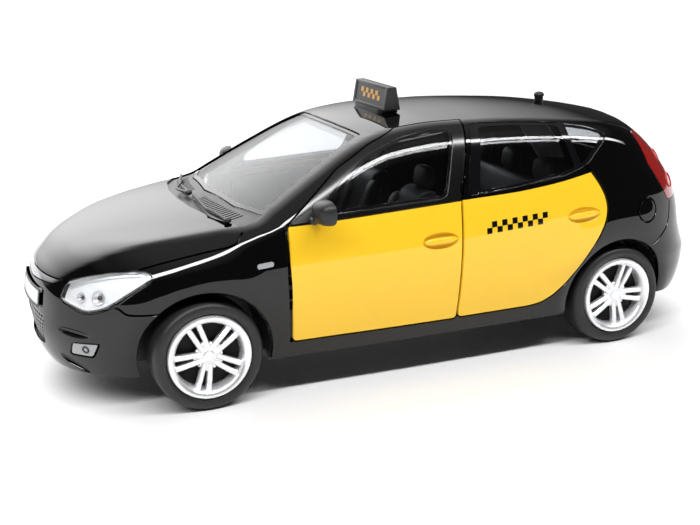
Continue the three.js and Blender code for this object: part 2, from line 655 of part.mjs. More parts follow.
function antenna() {
  const profile = [[0, 40], [0.9, 40], [0.8, 41.1], [0.45, 41.5], [0.4, 42], [0, 42.1]];
  const points = profile.map(([r, z]) => new THREE.Vector2(r, z));
  const turned = new THREE.LatheGeometry(points, 12).rotateX(Math.PI / 2).translate(ANTENNA_X, 0, 0);
  return solid(turned).subtract(skin(FIT_GAP / 2));
}

// ---- Wheels, built for the right side around the Y axis, outer face towards +Y ----

function lathe(profile, sides) {
  return new THREE.LatheGeometry([...profile, profile[0]].map(([r, y]) => new THREE.Vector2(r, y)), sides);
}

function tyre() {
  const half = TYRE_W / 2;
  const rows = [[6.7, -half + 0.2], [8, -half], [8.5, -half + 0.55], [TYRE_R, -half + 1.4]];
  return solid(lathe([...rows, ...rows.toReversed().map(([r, y]) => [r, -y])], 26));
}

const SPOKE_PAIRS = 5;

function rim() {
  const barrel = lathe([[5.9, -2.7], [6.6, -2.7], [6.6, 2.9], [6.45, 3.25], [6.1, 3.25], [5.8, 2.7]], 20);
  const hub = new THREE.CylinderGeometry(1.9, 1.9, 4.6, 12).translate(0, 0.4, 0);
  const spokes = Array.from({ length: SPOKE_PAIRS * 2 }, (_, i) => {
    const pair = Math.floor(i / 2) * ((2 * Math.PI) / SPOKE_PAIRS);
    const lean = (i % 2 ? 1 : -1) * 0.16;
    const bar = new THREE.BoxGeometry(4.8, 1.3, 0.85).translate(3.7, 2, 0);
    return solid(bar.rotateY(pair + lean));
  });
  const bore = rodY(AXLE_R + 0.06, 0, 0, -5, 1.4);
  return join(solid(barrel), solid(hub), ...spokes).subtract(bore);
}

// ---- The assembly ----

const group = new THREE.Group();

function add(name, geometry, look, place = [0, 0, 0], turn = [0, 0, 0]) {
  const mesh = new THREE.Mesh(geometry, look);
  mesh.name = name;
  mesh.position.set(...place);
  mesh.rotation.set(...turn);
  group.add(mesh);
}

const finish = (color, roughness, metalness = 0) => new THREE.MeshStandardMaterial({ color, roughness, metalness });
const glassFinish = (color) =>
  new THREE.MeshStandardMaterial({ color, roughness: 0.05, transparent: true, opacity: 0.35 });

add('body_shell', geometryOf(bodyShell()), finish(0x0a0a0c, 0.12, 0.2));
add('chassis_base', geometryOf(chassisBase()), finish(0x161617, 0.6));
add('interior_tub', geometryOf(tub()), finish(0x19191b, 0.7));
add('rear_bench', geometryOf(rearBench()), finish(0x19191b, 0.7));
add('dashboard', geometryOf(dashboard()), finish(0x1c1c1f, 0.7));
add('steering_wheel', geometryOf(steeringWheel()), finish(0x101011, 0.5));
add('windscreen', geometryOf(windscreen()), glassFinish(0xf4f8f8));
add('cowl_panel', geometryOf(cowl()), finish(0x2c2d30, 0.6));
add('tailgate_glass', geometryOf(tailgateGlass()), glassFinish(0xf4f8f8));
add('upper_grille', geometryOf(nosePiece(GRILLE, -0.2, -1)), finish(0x85878c, 0.25, 0.8));
add('lower_grille', geometryOf(nosePiece(INTAKE, -0.6, -1.4)), finish(0x5d5e61, 0.6));
add('front_plate', geometryOf(plate(FRONT_PLATE, -FAR, -50)), finish(0xf2f2ef, 0.4));
add('rear_plate', geometryOf(plate(REAR_PLATE, 50, FAR)), finish(0xf2f2ef, 0.4));
add('roof_sign', geometryOf(roofSign()), finish(0x111112, 0.5));
add('roof_sign_foot', geometryOf(signFoot()), finish(0x111112, 0.5));
add('roof_antenna', geometryOf(antenna()), finish(0x111112, 0.5));

const names = { [-1]: 'left', 1: 'right' };
for (const side of SIDES) {
  const hand = names[side];
  add(`front_seat_${hand}`, geometryOf(frontSeat(side)), finish(0x1c1c1e, 0.7));
  add(`rear_side_glass_${hand}`, geometryOf(sideGlass(REAR_GLASS, side)), glassFinish(0xf4f8f8));
  add(`headlight_lens_${hand}`, geometryOf(headlightLens(side)), glassFinish(0xffffff));
  add(`headlight_reflector_${hand}`, geometryOf(headlightReflector(side)), finish(0xd9dadc, 0.15, 1));
  add(`fog_lamp_${hand}`, geometryOf(sideSlice(inset(FOG_LAMP, FIT_GAP), side, -0.25, -1)), glassFinish(0xdfe2e4));
  const tailLamp = sideSlice(inset(TAIL_LAMP, FIT_GAP), side, 0, -1, 0.8, TAIL_LAMP_Y + FIT_GAP);
  add(`tail_lamp_${hand}`, geometryOf(tailLamp), glassFinish(0xc4152a));
  const repeater = sideSlice(inset(REPEATER, FIT_GAP), side, 0.15, -0.8, 0, 20);
  add(`side_repeater_${hand}`, geometryOf(repeater), finish(0x1b1b1d, 0.3));
  add(`door_${hand}`, geometryOf(doorPanel(side)), finish(0xf6bd16, 0.2, 0.1));
  add(`door_card_${hand}`, geometryOf(doorCard(side)), finish(0x1c1c1f, 0.7));
  add(`door_glass_${hand}`, geometryOf(sideGlass(DOOR_GLASS, side)), glassFinish(0xf4f8f8));
  add(`door_mirror_${hand}`, geometryOf(mirror(side)), finish(0x222326, 0.45));
  add(`mirror_glass_${hand}`, geometryOf(mirrorGlass(side)), finish(0xcfd4d8, 0.05, 1));
  add(`hinge_pin_${hand}`, geometryOf(rodZ(HINGE_PIN_R, HINGE_X, side * HINGE_Y, 11.4, 21)), finish(0x9a9c9f, 0.35, 1));
}

const WIPERS = {
  left: [[-30.2, -17.6], [-31.6, -11], [-31.4, -2.4]],
  right: [[-31.6, -0.4], [-31, 7], [-28.6, 15.6]],
};
for (const [hand, reach] of Object.entries(WIPERS)) {
  add(`wiper_${hand}`, geometryOf(wiper(reach)), finish(0x202124, 0.5));
}

for (const [where, x] of Object.entries({ front: FRONT_SCREW_X, rear: REAR_SCREW_X })) {
  add(`base_screw_${where}`, geometryOf(screw(x)), finish(0xa8aaad, 0.35, 1));
}

const tyreShape = geometryOf(tyre());
const rimShape = geometryOf(rim());
for (const [where, x] of Object.entries({ front: FRONT_AXLE_X, rear: REAR_AXLE_X })) {
  const reach = TYRE_Y + 1.3;
  const axle = new THREE.CylinderGeometry(AXLE_R, AXLE_R, 2 * reach, 24);
  add(`${where}_axle`, axle, finish(0xa8aaad, 0.3, 1), [x, 0, AXLE_Z]);
  for (const side of SIDES) {
    const turn = [0, 0, side < 0 ? Math.PI : 0];
    add(`${where}_rim_${names[side]}`, rimShape, finish(0xc6c8cb, 0.22, 1), [x, side * TYRE_Y, AXLE_Z], turn);
    add(`${where}_tyre_${names[side]}`, tyreShape, finish(0x121213, 0.6), [x, side * TYRE_Y, AXLE_Z], turn);
  }
}

export default group;
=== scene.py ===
"""A die-cast collector model of a five-door hatchback taxi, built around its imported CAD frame."""

import json
import math

import bmesh
import bpy
import numpy as np
from mathutils import Matrix, Vector


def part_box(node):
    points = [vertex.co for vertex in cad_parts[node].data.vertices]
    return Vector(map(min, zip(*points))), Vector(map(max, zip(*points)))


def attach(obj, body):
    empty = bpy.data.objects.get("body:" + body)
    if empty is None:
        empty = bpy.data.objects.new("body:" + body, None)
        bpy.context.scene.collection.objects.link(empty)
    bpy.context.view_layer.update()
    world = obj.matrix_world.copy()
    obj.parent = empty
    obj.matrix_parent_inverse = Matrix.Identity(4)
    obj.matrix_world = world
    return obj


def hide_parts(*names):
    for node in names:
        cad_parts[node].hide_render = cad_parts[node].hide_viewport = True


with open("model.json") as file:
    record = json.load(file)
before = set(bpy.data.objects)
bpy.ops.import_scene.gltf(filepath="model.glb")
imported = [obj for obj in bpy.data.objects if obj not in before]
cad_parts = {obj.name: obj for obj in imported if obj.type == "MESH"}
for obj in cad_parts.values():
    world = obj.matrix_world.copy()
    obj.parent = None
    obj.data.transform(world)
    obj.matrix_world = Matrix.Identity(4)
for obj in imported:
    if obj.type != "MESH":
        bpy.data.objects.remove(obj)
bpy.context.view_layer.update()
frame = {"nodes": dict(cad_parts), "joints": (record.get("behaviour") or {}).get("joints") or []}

MM = 0.001  # shapes are worked out in millimetres and scaled when their piece is made

# ---- Driving dimensions, in millimetres, as in the CAD model ----

WALL = 1.1
HALF_W = 24.6
REAR_SKIN = 0.5  # thickness of a rear door's yellow panel
SIDES = (-1, 1)  # left and right
HAND = {-1: "left", 1: "right"}


def node_box(node):
    """Lowest and highest corner of a CAD node in millimetres."""
    low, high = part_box(node)
    return np.array(low) / MM, np.array(high) / MM


def node_middle(node):
    low, high = node_box(node)
    return (low + high) / 2


AXLE_X = {"front": node_middle("front_axle")[0], "rear": node_middle("rear_axle")[0]}
AXLE_Z = node_middle("front_axle")[2]
TYRE_R = AXLE_Z
TYRE_Y = abs(node_middle("front_tyre_left")[1])
ARCH_R = 10.2

# ---- The body surface, the same profile curves as the CAD model ----


def curve(*points):
    """Monotone cubic through (place, value) points, straight beyond its ends."""
    at = np.array([p[0] for p in points], float)
    value = np.array([p[1] for p in points], float)
    chord = np.diff(value) / np.diff(at)
    slope = np.zeros(len(at))
    slope[0], slope[-1] = chord[0], chord[-1]
    for i in range(1, len(at) - 1):
        if chord[i - 1] * chord[i] > 0:
            before, after = at[i] - at[i - 1], at[i + 1] - at[i]
            mean = (chord[i - 1] * after + chord[i] * before) / (before + after)
            most = 3 * min(abs(chord[i - 1]), abs(chord[i]))
            slope[i] = math.copysign(min(abs(mean), most), mean)

    def f(x):
        x = np.asarray(x, float)
        i = np.clip(np.searchsorted(at, x) - 1, 0, len(at) - 2)
        h = at[i + 1] - at[i]
        s = (x - at[i]) / h
        t = np.clip(s, 0, 1)
        u = 1 - t
        y = (1 + 2 * t) * u * u * value[i] + t * u * u * h * slope[i]
        y += t * t * (3 - 2 * t) * value[i + 1] - t * t * u * h * slope[i + 1]
        return y + np.minimum(s, 0) * h * slope[0] + np.maximum(s - 1, 0) * h * slope[-1]

    return f


top_line = curve(
    (-59.3, 16.5), (-58, 20), (-55.5, 22.6), (-50, 25), (-42, 27), (-36, 28.1), (-31.5, 28.8), (-29, 29.5),
    (-26, 31.1), (-18, 35.3), (-11, 38.5), (-6.5, 39.9), (-1, 40.7), (6, 41.1), (15, 41.1), (25, 40.8),
    (35, 40), (44, 38.6), (50, 37.2),
)
nose_line = curve((4, -55.6), (6, -57), (9, -58.2), (13, -59), (17, -59), (20, -58), (24, -55), (30, -48))
tail_line = curve(
    (5, 56), (8, 58.4), (11, 59.3), (14.3, 59.5), (16.5, 58.6), (19, 57.6), (23, 56.6), (26, 55.6), (28, 54.6),
    (31, 52.3), (34, 49.6), (38, 46.1), (42, 42.3),
)
crown = curve((-59, 0.6), (-45, 1.2), (-30, 1.4), (-22, 1.8), (-10, 2.4), (20, 2.4), (50, 2.2))
bow = curve((-59, 5), (-52, 5.5), (-42, 4.5), (-28, 5.5), (-8, 5), (4, 3), (20, 0), (40, -2), (50, -4))
half_plan = curve((-60, 23.2), (-36, 24.1), (-18, 24.3), (0, HALF_W), (20, HALF_W), (37, 24.3), (60, 23.4))
belt_line = curve((-60, 23.5), (-25, 27), (7, 28.4), (20, 29.6), (32, 31.2), (50, 33))
side_curve = curve((3, -2.3), (6, -1.6), (9, -0.9), (13, -0.25), (17, 0), (20, -0.15), (23, -0.7), (26, -1.5))
hood_crease = curve((-59, 6), (-55, 10.5), (-48, 14.5), (-40, 17), (-30, 19.3), (-20, 21))
hood_fall = curve((-60, 0.45), (-50, 0.5), (-32, 0.4), (-26, 0), (-20, 0))

TUMBLEHOME = 0.42
NOSE_POWER, TAIL_POWER = 2.3, 3.4
NOSE_FROM, TAIL_FROM = -28, 34
SHOULDER_BLEND = 3.5
ARCH_ROLL = 0.075  # how fast the body turns in towards the edge of a wheel arch
ARCH_FLARE = 0.45  # how far it swells above the arch
DOOR_EDGE = -26.3  # the swelling has gone by this station, so that an open door clears the fender


def half_width(x, z):
    belt = belt_line(x)
    level = np.where(z < belt, 3 + (z - 3) * 23 / (belt - 3), 26)
    above = np.maximum(z - belt, 0)
    return np.maximum(half_plan(x) + side_curve(level) - TUMBLEHOME * above - 0.012 * above**2, 3)


def field(p):
    """Distance-like field at points p (N x 3), negative inside the body."""
    x, y, z = p[..., 0], p[..., 1], p[..., 2]
    across = np.abs(y) / half_width(x, z)
    nose = np.maximum((NOSE_FROM - x) / (NOSE_FROM - nose_line(z)), 0)
    tail = np.maximum((x - TAIL_FROM) / (tail_line(z) - TAIL_FROM), 0)
    reach = np.where(x < 0, nose, tail)
    power = np.where(x < 0, NOSE_POWER, TAIL_POWER)
    side = ((across**power + reach**power) ** (1 / power) - 1) * HALF_W
    q = (y / HALF_W) ** 2
    station = x - bow(x) * q
    beyond = np.abs(y) - hood_crease(x)
    fall = hood_fall(x) * 0.5 * (beyond + np.sqrt(beyond**2 + 0.08))
    slope = top_line(station + 0.5) - top_line(station - 0.5)
    top = (z - top_line(station) + crown(x) * q + fall) / np.hypot(1, slope)
    for axle_x in AXLE_X.values():
        radius = np.hypot(x - axle_x, z - AXLE_Z)
        side = side + ARCH_ROLL * np.clip(ARCH_R + 2.4 - radius, 0, 2.6) ** 2
        near = np.clip((18 - radius) / 5.4, 0, 1)
        high = np.clip((z - 12) / 5, 0, 1)
        by_door = np.clip((DOOR_EDGE - np.where(x < 0, x, -60)) / 5, 0, 1)
        side = side - ARCH_FLARE * near**2 * (3 - 2 * near) * high**2 * (3 - 2 * high) * by_door
    mix = np.maximum(SHOULDER_BLEND - np.abs(side - top), 0) / SHOULDER_BLEND
    return np.maximum(side, top) + mix * mix * SHOULDER_BLEND / 4


def gradient(p):
    """Outward unit normal of the body surface at points p."""
    step = 0.05
    g = np.stack([field(p + step * e) - field(p - step * e) for e in np.eye(3)], axis=-1)
    return g / np.maximum(np.linalg.norm(g, axis=-1, keepdims=True), 1e-9)


def cast(start, direction, offset=0.0, reach=75.0, steps=26):
    """Where rays from inside the body meet its surface at an offset."""
    near = np.zeros(len(start))
    far = np.broadcast_to(np.asarray(reach, float), (len(start),)).copy()
    for _ in range(steps):
        t = (near + far) / 2
        inside = field(start + direction * t[:, None]) < offset
        near = np.where(inside, t, near)
        far = np.where(inside, far, t)
    return start + direction * far[:, None]


SPINE_X, SPINE_Z, UNDER = 34, 17, 1


def skin(offset, mid=150, cap=46, around=184):
    """The body surface at an offset as a closed mesh, flat underneath."""
    angles = np.linspace(0, math.pi / 2, cap + 1)[1:]
    rings = [(-SPINE_X, a, -1) for a in angles]
    rings += [(x, math.pi / 2, 1) for x in np.linspace(-SPINE_X, SPINE_X, mid + 1)[1:-1]]
    rings += [(SPINE_X, a, 1) for a in angles[::-1]]
    turn = np.arange(around) * 2 * math.pi / around
    start = [[-SPINE_X, 0, SPINE_Z]]
    aim = [[-1, 0, 0]]
    for x, angle, way in rings:
        spread = math.sin(angle)
        start += [[x, 0, SPINE_Z]] * around
        level = np.full(around, way * math.cos(angle))
        aim += np.stack([level, -spread * np.sin(turn), spread * np.cos(turn)], 1).tolist()
    start = np.array(start + [[SPINE_X, 0, SPINE_Z]], float)
    aim = np.array(aim + [[1, 0, 0]], float)
    down = np.minimum(aim[:, 2], -1e-9)
    verts = cast(start, aim, offset, np.minimum(75, (UNDER - SPINE_Z) / down))
    faces = []
    j = np.arange(around)
    k = (j + 1) % around
    faces += [(0, 1 + b, 1 + a) for a, b in zip(j, k)]
    for r in range(len(rings) - 1):
        a = 1 + r * around
        faces += [(a + m, a + n, a + around + n, a + around + m) for m, n in zip(j, k)]
    end = 1 + (len(rings) - 1) * around
    faces += [(end + a, end + b, len(verts) - 1) for a, b in zip(j, k)]
    return new_mesh(verts, faces)


# ---- Mesh helpers, all in millimetres ----


def new_mesh(verts, faces):
    mesh = bpy.data.meshes.new("shape")
    mesh.from_pydata(np.asarray(verts, float).tolist(), [], [tuple(int(i) for i in f) for f in faces])
    mesh.update()
    return mesh


def boolean(mesh, other, operation="DIFFERENCE"):
    """The mesh with the other one cut off, joined on, or intersected. The cutter may be a list."""
    if isinstance(other, (list, tuple)):
        for one in other:
            mesh = boolean(mesh, one, operation)
        return mesh
    holder = bpy.data.objects.new("holder", mesh)
    tool = bpy.data.objects.new("tool", other)
    for o in (holder, tool):
        bpy.context.scene.collection.objects.link(o)
    modifier = holder.modifiers.new("cut", "BOOLEAN")
    modifier.operation = operation
    modifier.object = tool
    modifier.solver = "MANIFOLD"
    graph = bpy.context.evaluated_depsgraph_get()
    result = bpy.data.meshes.new_from_object(holder.evaluated_get(graph))
    for o in (holder, tool):
        bpy.data.objects.remove(o)
    return result


def points_of(mesh):
    co = np.zeros(len(mesh.vertices) * 3)
    mesh.vertices.foreach_get("co", co)
    return co.reshape(-1, 3)


def islands(mesh):
    """The separate bodies of a mesh, each as its own mesh."""
    n = len(mesh.vertices)
    label = np.arange(n)
    edges = np.zeros(len(mesh.edges) * 2, int)
    mesh.edges.foreach_get("vertices", edges)
    edges = edges.reshape(-1, 2)
    while True:
        low = np.minimum(label[edges[:, 0]], label[edges[:, 1]])
        new = label.copy()
        np.minimum.at(new, edges[:, 0], low)
        np.minimum.at(new, edges[:, 1], low)
        new = new[new]
        if (new == label).all():
            break
        label = new
    co = points_of(mesh)
    polys = [tuple(p.vertices) for p in mesh.polygons]
    groups = {}
    for poly in polys:
        groups.setdefault(label[poly[0]], []).append(poly)
    parts = []
    for root, faces in groups.items():
        used = np.flatnonzero(label == root)
        index = {int(v): i for i, v in enumerate(used)}
        parts.append(new_mesh(co[used], [[index[v] for v in f] for f in faces]))
    return parts


def size_of(mesh):
    co = points_of(mesh)
    return np.prod(co.max(0) - co.min(0))


def middle_of(mesh):
    co = points_of(mesh)
    return (co.max(0) + co.min(0)) / 2


def largest(mesh):
    return max(islands(mesh), key=size_of)


def slot_section(half, low, high):
    """A rectangular cutter's section."""
    return [(half, low), (half, high), (-half, high), (-half, low)]


def turns(count):
    """Evenly spaced angles once around."""
    return np.linspace(0, 2 * math.pi, count + 1)[:-1]


def box(low, high):
    (x0, y0, z0), (x1, y1, z1) = low, high
    verts = [(x, y, z) for x in (x0, x1) for y in (y0, y1) for z in (z0, z1)]
    faces = [(0, 1, 3, 2), (4, 6, 7, 5), (0, 4, 5, 1), (2, 3, 7, 6), (0, 2, 6, 4), (1, 5, 7, 3)]
    return new_mesh(verts, faces)


def side_box(x, y, z, side):
    """A box between two places along, out from the middle, and up, on one side of the car."""
    low, high = sorted((side * y[0], side * y[1]))
    return box((x[0], low, z[0]), (x[1], high, z[1]))


def loft(rings, closed=True, capped=True):
    """A mesh through rings of points; closed rings, with flat caps unless the rings close on themselves."""
    rings = np.asarray(rings, float)
    count, size = rings.shape[:2]
    faces = []
    last = count - 1 if capped else count
    for r in range(last):
        a, b = r * size, ((r + 1) % count) * size
        for m in range(size if closed else size - 1):
            n = (m + 1) % size
            faces.append((a + m, a + n, b + n, b + m))
    if capped:
        faces.append(tuple(range(size))[::-1])
        faces.append(tuple((count - 1) * size + m for m in range(size)))
    mesh = new_mesh(rings.reshape(-1, 3), faces)
    return outward(mesh)


def outward(mesh):
    """Turns a closed mesh's faces outwards."""
    co = points_of(mesh)
    mesh.calc_loop_triangles()
    tri = np.array([t.vertices for t in mesh.loop_triangles])
    a, b, c = co[tri[:, 0]], co[tri[:, 1]], co[tri[:, 2]]
    if np.einsum("ij,ij->i", a, np.cross(b, c)).sum() < 0:
        mesh.flip_normals()
    return mesh


def rounded(points, radius, step=0.5):
    """A closed outline with rounded corners, cut into short steps."""
    points = np.asarray(points, float)
    out = []
    for i, corner in enumerate(points):
        before = points[i - 1] - corner
        after = points[(i + 1) % len(points)] - corner
        lb, la = np.linalg.norm(before), np.linalg.norm(after)
        enter = corner + before / lb * min(radius, lb / 2.2)
        leave = corner + after / la * min(radius, la / 2.2)
        for t in np.linspace(0, 1, 7):
            out.append((1 - t) ** 2 * enter + 2 * t * (1 - t) * corner + t * t * leave)
    return resample(np.array(out), step, True)


def resample(points, step, closed):
    points = np.asarray(points, float)
    loop = np.vstack([points, points[:1]]) if closed else points
    length = np.concatenate([[0], np.cumsum(np.linalg.norm(np.diff(loop, axis=0), axis=1))])
    keep = np.concatenate([[True], np.diff(length) > 1e-6])
    loop, length = loop[keep], length[keep]
    count = max(int(round(length[-1] / step)), 4)
    at = np.linspace(0, length[-1], count + 1)
    if closed:
        at = at[:-1]
    return np.stack([np.interp(at, length, loop[:, i]) for i in range(loop.shape[1])], axis=1)


def smooth_path(points, step=0.5):
    """An open curve through the points."""
    points = np.asarray(points, float)
    along = np.concatenate([[0], np.cumsum(np.linalg.norm(np.diff(points, axis=0), axis=1))])
    at = np.linspace(0, along[-1], max(int(along[-1] / step), 6))
    return np.stack([curve(*zip(along, points[:, i]))(at) for i in range(points.shape[1])], axis=1)


def prism(points, axis, low, high):
    """An outline pushed along an axis; the outline's two coordinates are the other two, in order."""
    points = np.asarray(points, float)
    rings = []
    for level in (low, high):
        rings.append(np.insert(points, axis, level, axis=1))
    return loft(rings)


# places on the body surface under an outline


def on_side(points, side, offset=0.0):
    points = np.asarray(points, float)
    start = np.stack([points[:, 0], np.zeros(len(points)), points[:, 1]], 1)
    return cast(start, np.array([[0, side, 0]] * len(points), float), offset, 30)


def on_top(points, offset=0.0):
    points = np.asarray(points, float)
    start = np.stack([points[:, 0], points[:, 1], np.full(len(points), 15.0)], 1)
    return cast(start, np.array([[0, 0, 1]] * len(points), float), offset, 35)


def on_end(points, way, offset=0.0):
    points = np.asarray(points, float)
    start = np.stack([np.full(len(points), way * 20.0), points[:, 0], points[:, 1]], 1)
    return cast(start, np.array([[way, 0, 0]] * len(points), float), offset, 45)


def sweep(path, profile, closed):
    """A profile of (sideways, height) points swept along a path on the body surface."""
    path = np.asarray(path, float)
    up = gradient(path)
    along = np.roll(path, -1, 0) - np.roll(path, 1, 0)
    if not closed:
        along[0], along[-1] = path[1] - path[0], path[-1] - path[-2]
    along /= np.linalg.norm(along, axis=1)[:, None]
    across = np.cross(along, up)
    across /= np.linalg.norm(across, axis=1)[:, None]
    rings = [path + across * s + up * h for s, h in profile]
    return loft(np.stack(rings, 1), capped=not closed)


def groove_profile(half, depth, lip=0.14):
    """A cutter's section: a slot with rolled edges where it meets the surface."""
    right = [(half, -depth), (half, -0.24), (half + 0.35 * lip, -0.1), (half + lip, 0.0), (half + 0.6, 0.5)]
    return right + [(-s, h) for s, h in right[::-1]]


def through(path, half=0.08, lip=0.08):
    """A cutter right through the body wall along a closed path."""
    return sweep(path, groove_profile(half, WALL + 0.5, lip), True)


def shallow(path, half=0.09, depth=0.45, closed=False, lip=0.1):
    return sweep(path, groove_profile(half, depth, lip), closed)


def shade(mesh, angle=40, surface=None):
    """Smooth shading below an angle; on the body surface the normals come from its own formula."""
    mesh.shade_smooth()
    mesh.set_sharp_from_angle(angle=math.radians(angle))
    if surface is None:
        return mesh
    normals = np.zeros(len(mesh.loops) * 3, np.float32)
    mesh.corner_normals.foreach_get("vector", normals)
    normals = normals.reshape(-1, 3).astype(float)
    corner = np.zeros(len(mesh.loops), int)
    mesh.loops.foreach_get("vertex_index", corner)
    co = points_of(mesh)
    near = np.zeros(len(co), bool)
    for offset in surface:
        near |= np.abs(field(co) - offset) < 0.03
    grad = gradient(co)[corner]
    same = near[corner] & (np.einsum("ij,ij->i", normals, grad) > 0.6)
    normals[same] = grad[same]
    mesh.normals_split_custom_set(normals.tolist())
    return mesh


def piece(name, mesh, material, body="body", nodes=None, angle=40, surface=None):
    """Makes a finished piece in metres, riding on a body. Unless told, it stands for the CAD node of its name."""
    if nodes is None:
        nodes = [name] if name in frame["nodes"] else []
    shade(mesh, angle, surface)
    mesh.transform(Matrix.Scale(MM, 4))
    name = f"{name}_finished" if name in frame["nodes"] else name
    mesh.name = name
    mesh.materials.clear()
    mesh.materials.append(material)
    o = bpy.data.objects.new(name, mesh)
    bpy.context.scene.collection.objects.link(o)
    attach(o, body)
    if nodes:
        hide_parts(*nodes)


# ---- Materials, all procedural, in metres ----

PATCH = 60  # patches of roughness, in cycles per metre
GRAIN_HEIGHT = 2e-5


def material(name, colour, rough=0.5, metal=0.0, **sockets):
    """A principled material, with any other sockets given by name."""
    m = bpy.data.materials.new(name)
    m.use_nodes = True
    shader = m.node_tree.nodes["Principled BSDF"]
    shader.inputs["Base Color"].default_value = (*colour, 1)
    shader.inputs["Roughness"].default_value = rough
    shader.inputs["Metallic"].default_value = metal
    for key, value in sockets.items():
        shader.inputs[key.replace("_", " ")].default_value = value
    return m


def node(m, kind, **settings):
    n = m.node_tree.nodes.new(kind)
    for key, value in settings.items():
        if key in n.inputs:
            n.inputs[key].default_value = value
        else:
            setattr(n, key, value)
    return n


def noise(m, scale, detail=3.0):
    """Noise in the object's own coordinates, in cycles per metre."""
    place = node(m, "ShaderNodeTexCoord")
    grain = node(m, "ShaderNodeTexNoise", Scale=scale, Detail=detail)
    m.node_tree.links.new(place.outputs["Object"], grain.inputs["Vector"])
    return grain.outputs["Fac"]


def ramp(m, source, low, high, at=(0.35, 0.65)):
    """Maps a value between two levels."""
    n = node(m, "ShaderNodeMapRange")
    n.inputs["From Min"].default_value, n.inputs["From Max"].default_value = at
    n.inputs["To Min"].default_value, n.inputs["To Max"].default_value = low, high
    m.node_tree.links.new(source, n.inputs["Value"])
    return n.outputs["Result"]


def calc(m, operation, *values):
    """A Math node's result; each value is a number or another node's output."""
    n = node(m, "ShaderNodeMath", operation=operation)
    for socket, value in zip(n.inputs, values):
        if isinstance(value, (int, float)):
            socket.default_value = value
        else:
            m.node_tree.links.new(value, socket)
    return n.outputs["Value"]


def plug(m, source, socket):
    m.node_tree.links.new(source, m.node_tree.nodes["Principled BSDF"].inputs[socket])


def bump(m, source, strength, distance):
    n = node(m, "ShaderNodeBump", Strength=strength, Distance=distance)
    m.node_tree.links.new(source, n.inputs["Height"])
    plug(m, n.outputs["Normal"], "Normal")


def tint(m, source, dark, light):
    n = node(m, "ShaderNodeMix", data_type="RGBA")
    n.inputs[6].default_value, n.inputs[7].default_value = (*dark, 1), (*light, 1)
    m.node_tree.links.new(source, n.inputs[0])
    plug(m, n.outputs[2], "Base Color")


def finish(name, colour, rough, grain, strength=0.1, metal=0.0, low=0.9, high=1.1):
    """A plain finish broken up by patches of lower and higher roughness and a fine surface grain."""
    m = material(name, colour, rough, metal)
    plug(m, ramp(m, noise(m, PATCH), rough * low, rough * high), "Roughness")
    bump(m, noise(m, grain, 4), strength, GRAIN_HEIGHT)
    return m


def gloss_paint(name, dark, light, rough, spec):
    m = material(name, light, rough, Specular_IOR_Level=spec, Coat_Weight=1.0, Coat_Roughness=0.03)
    tint(m, noise(m, 45, 2), dark, light)
    bump(m, noise(m, 420, 2), 0.05, 4e-6)
    return m


paint = gloss_paint("black_paint", (0.0008, 0.0008, 0.0009), (0.0012, 0.0012, 0.0014), 0.3, 0.0)
yellow = gloss_paint("yellow_paint", (0.88, 0.53, 0.02), (0.91, 0.55, 0.023), 0.35, 0.1)
frame_black = finish("window_frame_black", (0.004, 0.004, 0.0045), 0.16, 900, 0.04)
base_black = finish("base_plastic", (0.012, 0.012, 0.013), 0.42, 700, 0.12, low=0.8, high=1.2)
dark_plastic = finish("trim_plastic", (0.012, 0.012, 0.013), 0.42, 1600, 0.3, low=0.85, high=1.15)
cabin_plastic = finish("interior_plastic", (0.021, 0.021, 0.023), 0.5, 1400, 0.3, low=0.85, high=1.15)
sign_plastic = finish("sign_plastic", (0.02, 0.0205, 0.022), 0.45, 1800, 0.25)
tyre_rubber = finish("tyre_rubber", (0.013, 0.013, 0.0135), 0.48, 1500, 0.25, low=0.8, high=1.2)
wheel_metal = finish("wheel_metal", (0.9, 0.905, 0.92), 0.27, 1200, 0.08, 0.7, 0.8, 1.25)
steel = finish("steel", (0.55, 0.55, 0.56), 0.28, 1200, 0.1, 1.0, 0.8, 1.3)
mesh_plastic = finish("mesh_plastic", (0.12, 0.12, 0.13), 0.35, 1100, metal=0.3)
dark_chrome = finish("dark_plating", (0.35, 0.35, 0.37), 0.16, 900, 0.05, 1.0, 0.8, 1.3)
silver = finish("silver_plastic", (0.85, 0.86, 0.88), 0.3, 1100, metal=0.5)
fog_plastic = finish("fog_plastic", (0.36, 0.37, 0.38), 0.25, 1100, metal=0.1)
white_plastic = finish("white_plastic", (0.95, 0.95, 0.95), 0.3, 1100)
plate_plastic = finish("plate_plastic", (0.72, 0.73, 0.74), 0.4, 1300)
black_print = finish("printed_black", (0.003, 0.003, 0.004), 0.08, 900, 0.02)
amber = finish("amber_print", (0.62, 0.3, 0.04), 0.45, 1500, 0.15)
red_print = finish("red_print", (0.5, 0.03, 0.02), 0.4, 1500, 0.15)
bulb_brown = finish("bulb_brown", (0.09, 0.06, 0.04), 0.3, 1100)
mirror_face = material("mirror_face", (0.8, 0.82, 0.84), 0.06, 1.0)
pit_black = material("shadow_black", (0.002, 0.002, 0.002), 0.8)


def clear(name, colour, rough=0.02, strength=1.0):
    """Thin clear plastic: reflects more at grazing angles, and lets light straight through."""
    m = bpy.data.materials.new(name)
    m.use_nodes = True
    m.node_tree.nodes.clear()
    see = node(m, "ShaderNodeBsdfTransparent", Color=(*colour, 1))
    shine = node(m, "ShaderNodeBsdfGlossy", Roughness=rough)
    edge = node(m, "ShaderNodeLayerWeight", Blend=0.5)
    part = calc(m, "MULTIPLY_ADD", calc(m, "POWER", edge.outputs["Facing"], 5), 0.96 * strength, 0.04 * strength)
    mix = node(m, "ShaderNodeMixShader")
    out = node(m, "ShaderNodeOutputMaterial")
    sources = (part, see.outputs["BSDF"], shine.outputs["BSDF"])
    for source, socket in zip((*sources, mix.outputs["Shader"]), (*mix.inputs, out.inputs["Surface"])):
        m.node_tree.links.new(source, socket)
    return m


